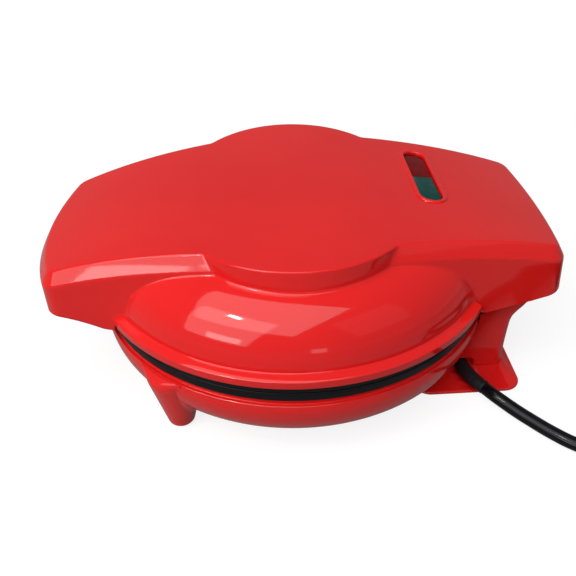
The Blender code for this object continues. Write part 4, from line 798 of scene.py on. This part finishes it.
def leg(name, side):
    """A leg: a cone about its own axis that runs out over the bowl's skin.

    Each line up the cone is followed to where it meets the bowl, and a quadratic curve takes it
    from there on to the bowl's surface.
    """
    spoke = circle(LEG_COLUMNS)
    axis = np.array((side * LEG_X, LEG_Y))
    heights = np.linspace(LEG_FOOT_Z, LEG_END_Z, LEG_SEARCH_STEPS)[:, None]
    slope = (LEG_TOP_RADIUS - LEG_FOOT_RADIUS) / (LEG_TOP_Z - LEG_FOOT_Z)
    cone = LEG_FOOT_RADIUS + slope * (heights - LEG_FOOT_Z)
    plan = axis + cone[..., None] * spoke
    inside = np.linalg.norm(plan, axis=-1) < bowl_radius(heights)
    first = np.where(inside.any(axis=0), np.argmax(inside, axis=0), len(heights) - 1)
    meet = raised(plan[first, np.arange(LEG_COLUMNS)], heights[first, 0])

    normal = bowl_normals(meet)
    way = raised(spoke, LEG_LEAN_SHARE / slope)
    way = unit(way - normal * (way * normal).sum(axis=1, keepdims=True))
    room = np.clip((meet[:, 2:] - LEG_FOOT_Z - LEG_SOLE) * LEG_BLEND_SHARE, 0, LEG_BLEND)
    down = unit(raised(-spoke * slope, -1.0))
    onto = bend(meet + down * room, meet, on_bowl(meet + way * room), LEG_BLEND_STEPS)

    sole_r = LEG_FOOT_RADIUS + slope * LEG_SOLE
    corners = ((0, LEG_FOOT_Z), (LEG_FOOT_RADIUS, LEG_FOOT_Z), (sole_r, LEG_FOOT_Z + LEG_SOLE))
    profile = eased(corners, (0, LEG_SOLE_ROUND, 0))
    sole = raised(axis + profile[:, :1, None] * spoke, profile[:, 1:])
    up = np.linspace(0, 1, LEG_SIDE_ROWS)[1:-1, None, None]
    cone_side = sole[-1] + (onto[0] - sole[-1]) * up
    sunk = onto[-1] - normal * LEG_SINK
    cap = np.broadcast_to(sunk.mean(axis=0) - normal.mean(axis=0) * LEG_CAP, sunk.shape)
    piece(name, surface(np.concatenate([sole, cone_side, onto, sunk[None], cap[None]])[::-1]), RED)


def ring_moulds(tube, low=0.0):
    """A torus at each mould's place, of which only what lies above the height low is kept."""
    section = circle(RING_ROWS)[:, None]
    reach = DONUT_RING_RADIUS + tube * section[..., :1]
    rise = np.maximum(PLATE_PLANE_Z - tube * section[..., 1], low)
    ring = raised(reach * circle(RING_COLUMNS), rise).reshape(-1, 3)
    spots = np.vstack([(0, 0), DONUT_CIRCLE_RADIUS * circle(DONUT_COUNT)])
    faces = grid_faces(RING_ROWS, RING_COLUMNS, True) + len(ring) * np.arange(len(spots))[:, None, None]
    return mesh_of(ring + raised(spots, 0.0)[:, None], faces.reshape(-1, 4).tolist())


def cooking_plate(name, body):
    """A plate turned about the body's axis, with ring moulds pressed through it.

    Each mould is a torus whose middle circle lies in the plane where the plates meet, and the
    lower plate is the upper one mirrored in that plane.
    """
    face = PLATE_PLANE_Z + GAP / 2
    back = PLATE_PLANE_Z + PLATE_THICKNESS
    corners = ((0, back), (PLATE_RADIUS, back), (PLATE_RADIUS, face), (0, face))
    disc = turned(eased(corners, (0, PLATE_EDGE, PLATE_EDGE, 0)))
    backs = ring_moulds(DONUT_TUBE_RADIUS + WALL, face + PLATE_EDGE)
    mesh = carved(disc, ring_moulds(DONUT_TUBE_RADIUS), added=backs)
    if body == "base":
        mirror = Matrix.Diagonal((1, 1, -1, 1))
        mirror[2][3] = 2 * PLATE_PLANE_Z
        mesh.transform(mirror)
        mesh.flip_normals()
    made = piece(name + "_cast", mesh, PLATE_COAT, body, SHELL_SHARP)
    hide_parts(name)


def half_block(half, middle_y, end_y, corner):
    """A block's plan from its right side's middle round one end to the left, with round corners."""
    way = 1 if end_y > middle_y else -1
    x, y = half - corner, end_y - way * corner
    right = arc(0, 0, corner, 0, pi / 2, BLOCK_CORNER_POINTS) * (1, way)
    left = right[::-1] * (-1, 1)
    return np.vstack([
        np.linspace((half, middle_y), (half, y), BLOCK_SIDE_POINTS)[:-1],
        right + (x, y),
        np.linspace((x, end_y), (-x, end_y), BLOCK_END_POINTS)[1:-1],
        left + (-x, y),
        np.linspace((-half, y), (-half, middle_y), BLOCK_SIDE_POINTS)[1:]])


def block_ring(half, middle_y, front, rear, room):
    """A plan outline from the left side's middle round the front to the right, and back by the rear.

    front and rear hold each end's y and the radius of its corners. The front bows in round a
    circle of the given room.
    """
    bowed = half_block(half, middle_y, *front)[::-1]
    bowed[:, 1] = np.maximum(bowed[:, 1], np.sqrt(np.maximum(room ** 2 - bowed[:, 0] ** 2, 0)))
    return np.vstack([bowed, half_block(half, middle_y, *rear)[1:-1]])


def room_radius(z):
    """The radius that the bowl leaves free at a height, and the plates and the lip above it."""
    if z > BOWL_TOP_Z - SIDE_CLEARANCE:
        return LIP_RADIUS + SIDE_CLEARANCE + GAP
    return bowl_radius(z, GAP)


def rear_stand():
    """The stand: plan rings up its height, which flare at the rear and bow round the bowl in front."""
    flare = smooth_path(STAND_REAR_SHARES, STAND_STEPS)
    turn = np.linspace(0, pi / 2, ROUND_STEPS + 1)[1:]
    shoulder = STAND_TOP_Z - STAND_EDGE
    upright = STAND_Z + (shoulder - STAND_Z) * flare[:, 0]
    heights = np.concatenate([upright, shoulder + STAND_EDGE * np.sin(turn)])
    insets = np.concatenate([0 * flare[:, 0], STAND_EDGE * (1 - np.cos(turn))])
    shares = np.concatenate([flare[:, 1], np.ones(ROUND_STEPS)])
    rings = []
    for z, share, inset in zip(heights, shares, insets):
        front = (STAND_FRONT_Y, STAND_FRONT_CORNER)
        rear = (STAND_REAR_Y + STAND_FLARE * share - inset, STAND_CORNER)
        ring = block_ring(STAND_HALF - inset, STAND_MIDDLE_Y, front, rear, room_radius(z) + inset)
        rings.append(raised(ring, z))
    body = surface(np.stack(rings)[::-1], flat_ends=True)

    ear = STAND_HALF - STAND_EAR
    notch = HINGE_Z - LUG_RADIUS - 2 * SIDE_CLEARANCE
    near, far = STAND_REAR_Y - NOTCH_REACH, STAND_REAR_Y + NOTCH_REACH
    cutters = []
    for low, high in ((-ear, -BARREL_HALF), (BARREL_HALF, ear)):
        outline = ((low, near), (high, near), (high, far), (low, far))
        cutters.append(slab(outline, notch, CROWN_Z, NOTCH_EDGE))
    mouth = stadium(MOUTH_LENGTH, MOUTH_HEIGHT, STADIUM_STEPS)
    cutters.append(slab(mouth, 0.0, MOUTH_DEPTH, MOUTH_EDGE, along_x(RELIEF_ROUTE[0][0], MOUTH_Y, MOUTH_Z)))
    made = piece("rear_stand_shell", carved(body, *cutters), RED, "base", SHELL_SHARP)
    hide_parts("rear_stand")

    bar = BARREL_RADIUS * circle(BAR_POINTS)
    spans = {"hinge_barrel": (-BARREL_HALF, BARREL_HALF), "hinge_ear_left": (-STAND_HALF, -ear),
             "hinge_ear_right": (ear, STAND_HALF)}
    for name, (low, high) in spans.items():
        piece(name, slab(bar, low, high, LUG_EDGE, along_x(0, HINGE_Y, HINGE_Z)), RED)


def stand_foot():
    """The flange under the stand: rings from beneath the stand's wall out to a thin round edge.

    Its height falls from the shoulder by a power of the way out, and a groove of the cord's own
    round section is pressed in along the cord's way.
    """
    way = np.linspace(0, 1, FOOT_RINGS)
    turn = np.linspace(0, pi, FOOT_EDGE_RINGS + 1)[1:]
    radius = FOOT_EDGE / 2
    fall = FOOT_EDGE + (FOOT_HEIGHT - FOOT_EDGE) * (1 - way) ** FOOT_FALL_POWER
    heights = np.concatenate([fall, radius + radius * np.cos(turn)])[:, None]
    out = np.concatenate([way ** FOOT_OUT_POWER, np.ones(FOOT_EDGE_RINGS)])[:, None, None]
    over = np.concatenate([0 * way, radius * np.sin(turn)])[:, None, None]
    room = COVER_RADIUS + SIDE_CLEARANCE
    tight = block_ring(STAND_HALF + FOOT_SHOULDER, FOOT_MIDDLE_Y, (STAND_FRONT_Y, STAND_CORNER),
                       (STAND_REAR_Y + FOOT_SHOULDER, STAND_CORNER), room)
    wide = block_ring(FOOT_HALF - radius, FOOT_MIDDLE_Y, (FOOT_FRONT_Y + radius, FOOT_CORNER),
                      (FOOT_REAR_Y - radius, FOOT_CORNER), room + radius)
    rings = tight + (wide - tight) * out + outward(wide) * over

    onward = smooth_path(RELIEF_ROUTE[-1:] + CORD_ROUTE[:3], GROOVE_CORD_STEPS)
    path = np.vstack([smooth_path(RELIEF_ROUTE, GROOVE_RELIEF_STEPS), onward])
    gaps = np.linalg.norm(rings[:, :, None] - path[:, :2], axis=-1)
    gap = gaps.min(axis=-1)
    groove = path[gaps.argmin(axis=-1), 2] - np.sqrt(np.maximum(GROOVE_RADIUS ** 2 - gap ** 2, 0))
    groove = np.where(gap < GROOVE_RADIUS, np.maximum(groove, CHANNEL_FLOOR), FOOT_HEIGHT)
    grooved = np.arange(len(heights))[:, None] < GROOVED_RINGS
    points = raised(rings, np.where(grooved, np.minimum(heights, groove), heights))
    shape = surface(np.concatenate([points, raised(tight, 0.0)[None]]), flat_ends=True)
    made = piece("stand_foot_flange", shape, RED, "base", FOOT_SHARP)
    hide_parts("stand_foot")


def coil_path():
    """The coil's middle line: a spiral that runs in, climbs one layer as it turns, and runs out again.

    The climb and the drop to the plug follow the eased share 3 s^2 - 2 s^3.
    """
    total = COIL_TURNS_IN + COIL_TURNS_OUT
    t = np.linspace(-COIL_TURNS_IN, COIL_TURNS_OUT, round(total * COIL_POINTS) + 1)
    angle = COIL_START_ANGLE + 2 * pi * (t + COIL_TURNS_IN)
    radius = COIL_RADIUS + COIL_PITCH * np.abs(t)
    climb = np.clip(t / COIL_CLIMB_TURNS + 1 / 2, 0, 1)
    drop = np.clip(1 - (COIL_TURNS_OUT - t) / COIL_DROP_TURNS, 0, None)
    end_drop = COIL_Z + COIL_PITCH - PLUG_DEPTH / 2
    height = COIL_Z + COIL_PITCH * climb ** 2 * (3 - 2 * climb) - end_drop * drop ** 2 * (3 - 2 * drop)
    return np.stack([COIL_X + radius * np.cos(angle), COIL_Y + radius * np.sin(angle), height], axis=1)


def cord_path():
    """The cord's whole middle line: out of the relief, along the table, round the coil and to the plug."""
    coil = coil_path()
    before, start = np.array(RELIEF_ROUTE[-2:])
    leaving = unit(start - before)
    heading = unit(coil[1] - coil[0])
    straight = 2 * CORD_RADIUS + GAP
    last = unit((coil[-1] - coil[-3]) * (1, 1, 0))
    lead = np.vstack([start + leaving * GAP, start + leaving * straight, CORD_ROUTE,
                      coil[0] - heading * straight, coil[0]])
    end = coil[-1] + last * 2 * CORD_RADIUS
    return np.vstack([smooth_path(lead, CORD_STEPS)[:-1], coil, end])


def swept(name, path, radius):
    """A round bar along a path, as one open curve."""
    curve = bpy.data.curves.new(name, "CURVE")
    curve.dimensions = "3D"
    curve.bevel_depth = radius
    curve.bevel_resolution = CORD_ROUND_STEPS
    curve.use_fill_caps = True
    spline = curve.splines.new("POLY")
    spline.points.add(len(path) - 1)
    spline.points.foreach_set("co", np.hstack([path, np.ones((len(path), 1))]).ravel())
    made = bpy.data.objects.new(name, curve)
    LOOKS.objects.link(made)
    return made


def rounded_rings(sizes):
    """Rounded rectangles: quarter circles r (cos a, sin a), each moved out to its own corner.

    Each row of sizes is half the width, half the depth and the corners' radius r of one ring.
    """
    width, depth, radius = np.array(sizes, dtype=float).T[:, :, None]
    angle = ((np.arange(4)[:, None] + np.linspace(0, 1, QUARTER_STEPS + 1)) * pi / 2).ravel()
    side = np.repeat((1, -1, -1, 1), QUARTER_STEPS + 1)
    rise = np.repeat((1, 1, -1, -1), QUARTER_STEPS + 1)
    return side * (width - radius) + radius * np.cos(angle), rise * (depth - radius) + radius * np.sin(angle)


def pressed(place, start, end, pitch, depth):
    """Shallow waves from start to end along a piece: depth sin^2(pi (place - start) / pitch)."""
    return depth * np.sin(pi * (place - start) / pitch) ** 2 * (place > start) * (place < end)


def capped(rings):
    """Rows of rings, with both ends drawn together to the middle of their ring."""
    first, last = (np.broadcast_to(rings[i].mean(axis=0), rings[:1].shape) for i in (0, -1))
    return np.concatenate([first, rings, last])


def plug(end, heading):
    """The plug's body: rounded rectangles along it, a round neck with pressed rings, and an eased face."""
    shape = smooth_path(PLUG_SHAPE, PLUG_STEPS)
    shape[:, 1:] -= (pressed(shape[:, 0], *NECK_RINGS) + pressed(shape[:, 0], *GRIP_RIBS))[:, None]
    turn = np.linspace(0, pi / 2, ROUND_STEPS + 1)[1:, None]
    rim = shape[-1] + PLUG_EDGE * np.hstack([np.sin(turn)] + [np.cos(turn) - 1] * 3)
    shape = np.vstack([shape, rim])
    across, up = rounded_rings(shape[:, 1:])
    place = np.eye(4)
    place[:3, :3] = np.stack([heading, np.cross((0, 0, 1), heading), (0, 0, 1)], axis=1)
    place[:3, 3] = end
    rings = np.stack([np.broadcast_to(shape[:, :1], up.shape), -across, up], axis=-1)
    body = surface(moved(capped(rings), place))
    slots = []
    for y in (-BLADE_SPACING / 2, BLADE_SPACING / 2):
        half = BLADE_THICKNESS / 2 + GAP
        root, tip = PLUG_FACE - BLADE_ROOT - GAP, PLUG_FACE + BLADE_LENGTH
        outline = ((root, y - half), (tip, y - half), (tip, y + half), (root, y + half))
        slots.append(slab(outline, -BLADE_WIDTH / 2 - GAP, BLADE_WIDTH / 2 + GAP, SLOT_EDGE, place))
    made = piece("plug_body", carved(body, *slots), SLEEVE_BLACK)
    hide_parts("cord_plug")


def coil_tie():
    """The band round the coil: a rounded rectangle's ring, drawn out by its thickness, with eased edges."""
    turn = (TIE_ANGLE - COIL_START_ANGLE) % (2 * pi) / (2 * pi)
    radii = COIL_RADIUS + COIL_PITCH * np.abs(turn + np.arange(2) - COIL_TURNS_IN)
    inner = radii.min() - CORD_RADIUS - SIDE_CLEARANCE
    outer = radii.max() + CORD_RADIUS + SIDE_CLEARANCE
    low, high = COIL_Z - CORD_RADIUS - GAP, COIL_Z + COIL_PITCH + CORD_RADIUS + GAP
    room = np.array(((outer - inner) / 2, (high - low) / 2, CORD_RADIUS))
    eased_out = TIE_THICKNESS - TIE_EDGE
    grown = np.array((0, 0, eased_out, TIE_THICKNESS, TIE_THICKNESS, eased_out))
    half = TIE_WIDTH / 2
    over = np.array((half, -half, -half, TIE_EDGE - half, half - TIE_EDGE, half))[:, None]
    across, up = rounded_rings(room + grown[:, None])
    radius = (inner + outer) / 2 + across
    x = COIL_X + radius * cos(TIE_ANGLE) - over * sin(TIE_ANGLE)
    y = COIL_Y + radius * sin(TIE_ANGLE) + over * cos(TIE_ANGLE)
    points = np.stack([x, y, (low + high) / 2 + up], axis=-1)
    made = piece("tie_band", surface(points, True), SLEEVE_BLACK)
    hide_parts("cord_tie")


def mains_cord():
    route = cord_path()
    path = placed(route)
    cord = swept("mains_cord", path, CORD_RADIUS)
    cord.data.materials.append(CORD_BLACK)
    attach(cord, "base")
    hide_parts("cord_lead", "cord_coil")
    plug(route[-1], unit(route[-1] - route[-2]))
    coil_tie()


def strain_relief():
    """The sleeve on the cord: circles across the route, tapered, with shallow rings pressed in."""
    path = smooth_path(RELIEF_ROUTE, RELIEF_STEPS)
    along = unit(np.gradient(path, axis=0))
    side = unit(np.cross(along, (0, 0, 1)))
    up = np.cross(side, along)
    way = np.linspace(0, 1, len(path))
    waves = np.clip(np.sin(2 * pi * RELIEF_RINGS * way), 0, 1) * (way > RELIEF_RINGS_START_SHARE)
    tip = np.sqrt(1 - np.clip((way - 1) / RELIEF_TIP_SHARE + 1, 0, 1) ** 2)
    radius = RELIEF_START_RADIUS * (1 + (RELIEF_END_SHARE - 1) * way) - RELIEF_RING_DEPTH * waves
    radius *= 1 - RELIEF_TIP_DROP_SHARE * (1 - tip)
    spoke = circle(RELIEF_COLUMNS)
    outwards = spoke[:, :1] * side[:, None] + spoke[:, 1:] * up[:, None]
    rings = path[:, None] + radius[:, None, None] * outwards
    made = piece("strain_relief_sleeve", surface(capped(rings)), SLEEVE_BLACK)
    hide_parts("strain_relief")


def node(tree, kind, output, inputs, operation=None):
    """One output of a new shader node, whose inputs take values or other nodes' outputs."""
    made = tree.nodes.new("ShaderNode" + kind)
    if operation:
        made.operation = operation
    for socket, value in inputs.items():
        if isinstance(value, bpy.types.NodeSocket):
            tree.links.new(value, made.inputs[socket])
        else:
            made.inputs[socket].default_value = value
    return made.outputs[output]


def node_material(name, colour, roughness, **sockets):
    made = bpy.data.materials.new(name)
    made.use_nodes = True
    shader = made.node_tree.nodes["Principled BSDF"]
    shader.inputs["Base Color"].default_value = (*colour, 1.0)
    shader.inputs["Roughness"].default_value = roughness
    for socket, value in sockets.items():
        shader.inputs[socket.replace("_", " ")].default_value = value
    return made, made.node_tree, shader


def noise(tree, scale, detail):
    """Noise on the object's own coordinates, at a scale in turns per metre."""
    place = node(tree, "TexCoord", "Object", {})
    return node(tree, "TexNoise", "Fac", {"Vector": place, "Scale": scale, "Detail": detail})


def spread(tree, source, low, high, first=NOISE_LOW, last=NOISE_HIGH):
    """A value from low to high as the source goes from first to last."""
    ends = {"From Min": first, "From Max": last, "To Min": low, "To Max": high}
    return node(tree, "MapRange", "Result", {"Value": source, **ends})


def tinted(tree, shader, source, low, high):
    """The base colour runs between two colours as the source does."""
    ramp = tree.nodes.new("ShaderNodeValToRGB")
    for element, position, colour in zip(ramp.color_ramp.elements, (NOISE_LOW, NOISE_HIGH), (low, high)):
        element.position = position
        element.color = (*colour, 1.0)
    tree.links.new(source, ramp.inputs["Fac"])
    tree.links.new(ramp.outputs["Color"], shader.inputs["Base Color"])


def grained(tree, shader, source, depth):
    """The source as a bump of the given depth in metres."""
    bump = node(tree, "Bump", "Normal", {"Strength": 1.0, "Distance": depth, "Height": source})
    tree.links.new(bump, shader.inputs["Normal"])


def glossy_red():
    """Moulded high-gloss red plastic: a faint ripple from the mould and a slightly uneven polish."""
    made, tree, shader = node_material("glossy_red_plastic", (0.76, 0.012, 0.012), 0.07, IOR=1.48)
    tinted(tree, shader, noise(tree, 14, 2.0), (0.73, 0.010, 0.011), (0.79, 0.014, 0.012))
    tree.links.new(spread(tree, noise(tree, 60, 4.0), 0.05, 0.08), shader.inputs["Roughness"])
    grained(tree, shader, noise(tree, 130, 2.0), 0.00002)
    return made


def clear_lens(name, deep, pale):
    """Tinted clear plastic over a dark holder: a deep, slightly uneven colour and a polished skin."""
    made, tree, shader = node_material(name, deep, 0.08, IOR=1.5, Specular_IOR_Level=0.12)
    tinted(tree, shader, noise(tree, 160, 3.0), deep, pale)
    tree.links.new(spread(tree, noise(tree, 300, 2.0), 0.04, 0.09), shader.inputs["Roughness"])
    return made


def speckled(name, low, high, rough_low, rough_high, scale, depth=0.0, **sockets):
    """A finish whose colour and polish wander with one fine noise, and its surface where a depth is given."""
    made, tree, shader = node_material(name, low, rough_low, **sockets)
    fine = noise(tree, scale, 5.0)
    tinted(tree, shader, fine, low, high)
    tree.links.new(spread(tree, fine, rough_low, rough_high), shader.inputs["Roughness"])
    if depth:
        grained(tree, shader, fine, depth)
    return made


RED = glossy_red()
RED_LENS = clear_lens("red_lens_plastic", (0.13, 0.001, 0.001), (0.19, 0.003, 0.002))
GREEN_LENS = clear_lens("green_lens_plastic", (0.0, 0.040, 0.032), (0.0, 0.068, 0.054))
PLATE_COAT = speckled("nonstick_coat", (0.002, 0.002, 0.003), (0.005, 0.005, 0.007),
                      0.34, 0.46, 900, 0.00002, Specular_IOR_Level=0.20)
STEEL = speckled("plain_steel", (0.48, 0.48, 0.49), (0.60, 0.60, 0.61),
                 0.28, 0.42, 500, 0.00001, Metallic=1.0)
BRASS = speckled("plain_brass", (0.62, 0.44, 0.18), (0.74, 0.54, 0.24),
                 0.25, 0.38, 500, 0.00001, Metallic=1.0)
CORD_BLACK = speckled("cord_sheath", (0.002, 0.002, 0.003), (0.005, 0.005, 0.007),
                      0.10, 0.15, 300, 0.00001, Specular_IOR_Level=0.22)
SLEEVE_BLACK = speckled("moulded_rubber", (0.004, 0.004, 0.005), (0.009, 0.009, 0.011),
                        0.50, 0.66, 1100, 0.00005, Specular_IOR_Level=0.30)
GRAINED_BLACK = speckled("grained_black_plastic", (0.012, 0.012, 0.013), (0.024, 0.024, 0.026),
                         0.42, 0.58, 1300, 0.00006)
HEAT_WHITE = speckled("heat_proof_white", (0.62, 0.60, 0.54), (0.74, 0.72, 0.66), 0.42, 0.58, 600, 0.00003)
WOVEN = speckled("woven_sleeve", (0.60, 0.58, 0.50), (0.80, 0.78, 0.70), 0.75, 0.90, 2200, 0.00012)
LAMP = speckled("lamp_glass", (0.70, 0.50, 0.22), (0.85, 0.66, 0.36), 0.08, 0.18, 400)

NODE_FINISHES = {
    "red_housing": RED, "plate_coat": PLATE_COAT, "steel": STEEL, "rubber": SLEEVE_BLACK,
    "black_plastic": GRAINED_BLACK, "red_lens": RED_LENS, "green_lens": GREEN_LENS,
    "white_plastic": HEAT_WHITE, "lead_sleeve": WOVEN, "brass": BRASS,
}


def finish_nodes():
    """Each solid that stays gets the finish of its slot in the record."""
    for row in frame["record"]["subparts"]:
        solid = frame["nodes"][row["node"]]
        solid.data.materials.clear()
        solid.data.materials.append(NODE_FINISHES[row["material_slot"]])
    for name in ("red_lamp", "green_lamp"):
        frame["nodes"][name].data.materials[0] = LAMP


def camera():
    data = bpy.data.cameras.new("camera")
    data.lens = CAMERA_LENS
    data.sensor_width = CAMERA_SENSOR
    data.shift_x = CAMERA_SHIFT_X
    data.shift_y = CAMERA_SHIFT_Y
    data.clip_start = CAMERA_CLIP
    made = bpy.data.objects.new("camera", data)
    bpy.context.scene.collection.objects.link(made)
    made.location = CAMERA_PLACE
    turn = Euler((0, 0, CAMERA_AZIMUTH + pi / 2)).to_matrix()
    tilt = Euler((pi / 2 - CAMERA_ELEVATION, 0, 0)).to_matrix()
    roll = Euler((0, 0, CAMERA_ROLL)).to_matrix()
    made.rotation_euler = (turn @ tilt @ roll).to_euler()
    bpy.context.scene.camera = made


def lamp(name, place, aim, width, height, power):
    """A flat soft lamp that faces its aim."""
    data = bpy.data.lights.new(name, "AREA")
    data.shape = "RECTANGLE"
    data.size = width
    data.size_y = height
    data.energy = power
    made = bpy.data.objects.new(name, data)
    bpy.context.scene.collection.objects.link(made)
    made.location = place
    made.rotation_euler = (Vector(aim) - Vector(place)).to_track_quat("-Z", "Y").to_euler()


def combined(tree, operation, first, second):
    """Two values combined: their product or the larger one."""
    return node(tree, "Math", "Value", {0: first, 1: second}, operation)


def backdrop_light(tree, polish_level=POLISH_SHARE):
    """1 for the rays that show the backdrop straight or through glass, and the given level off a polish."""
    rays = tree.nodes.new("ShaderNodeLightPath").outputs
    polish = combined(tree, "MULTIPLY", rays["Is Glossy Ray"], polish_level)
    straight = combined(tree, "MAXIMUM", rays["Is Camera Ray"], rays["Is Transmission Ray"])
    return combined(tree, "MAXIMUM", straight, polish)


def room():
    """A dim even room that is white where it is seen, and off a polish only near the floor's level."""
    world = bpy.data.worlds.new("room")
    bpy.context.scene.world = world
    world.use_nodes = True
    tree = world.node_tree
    back = tree.nodes["Background"]
    back.inputs["Color"].default_value = WHITE
    height = node(tree, "SeparateXYZ", "Z", {"Vector": node(tree, "TexCoord", "Generated", {})})
    level = spread(tree, height, POLISH_SHARE, 0.0, 0.0, ROOM_FADE)
    light = spread(tree, backdrop_light(tree, level), ROOM_LIGHT, 1.0, 0.0, 1.0)
    tree.links.new(light, back.inputs["Strength"])


def floor():
    """A round pale floor, white where it is seen but for the object's soft shadow.

    Its own glow grows from the middle outwards as the lamps' light falls off.
    """
    rim = raised(FLOOR_RADIUS * circle(FLOOR_POINTS), 0.0)
    mesh = bpy.data.meshes.new("floor")
    mesh.from_pydata(rim.tolist(), [], [tuple(range(FLOOR_POINTS))])
    made = bpy.data.objects.new("floor", mesh)
    bpy.context.scene.collection.objects.link(made)
    paint, tree, shader = node_material("floor_paint", (FLOOR_SHARE,) * 3, FLOOR_ROUGHNESS,
                                        Specular_IOR_Level=0.0, Emission_Color=WHITE)
    apart = node(tree, "VectorMath", "Value", {0: node(tree, "TexCoord", "Object", {})}, "LENGTH")
    glow = spread(tree, apart, FLOOR_GLOW, 1.0, GLOW_FROM, GLOW_TO)
    shown = combined(tree, "MULTIPLY", backdrop_light(tree), glow)
    tree.links.new(shown, shader.inputs["Emission Strength"])
    mesh.materials.append(paint)


camera()
finish_nodes()
mains_cord()
strain_relief()
lid_cover()
window_rim()
lenses()
hinge_lugs()
base_bowl()
leg("front_leg_left", -1)
leg("front_leg_right", 1)
cooking_plate("upper_plate", "lid")
cooking_plate("lower_plate", "base")
rear_stand()
stand_foot()
room()
floor()
for name, (place, aim, width, height, power) in LAMPS.items():
    lamp(name, place, aim, width, height, power)

bpy.context.scene.view_settings.view_transform = "Standard"
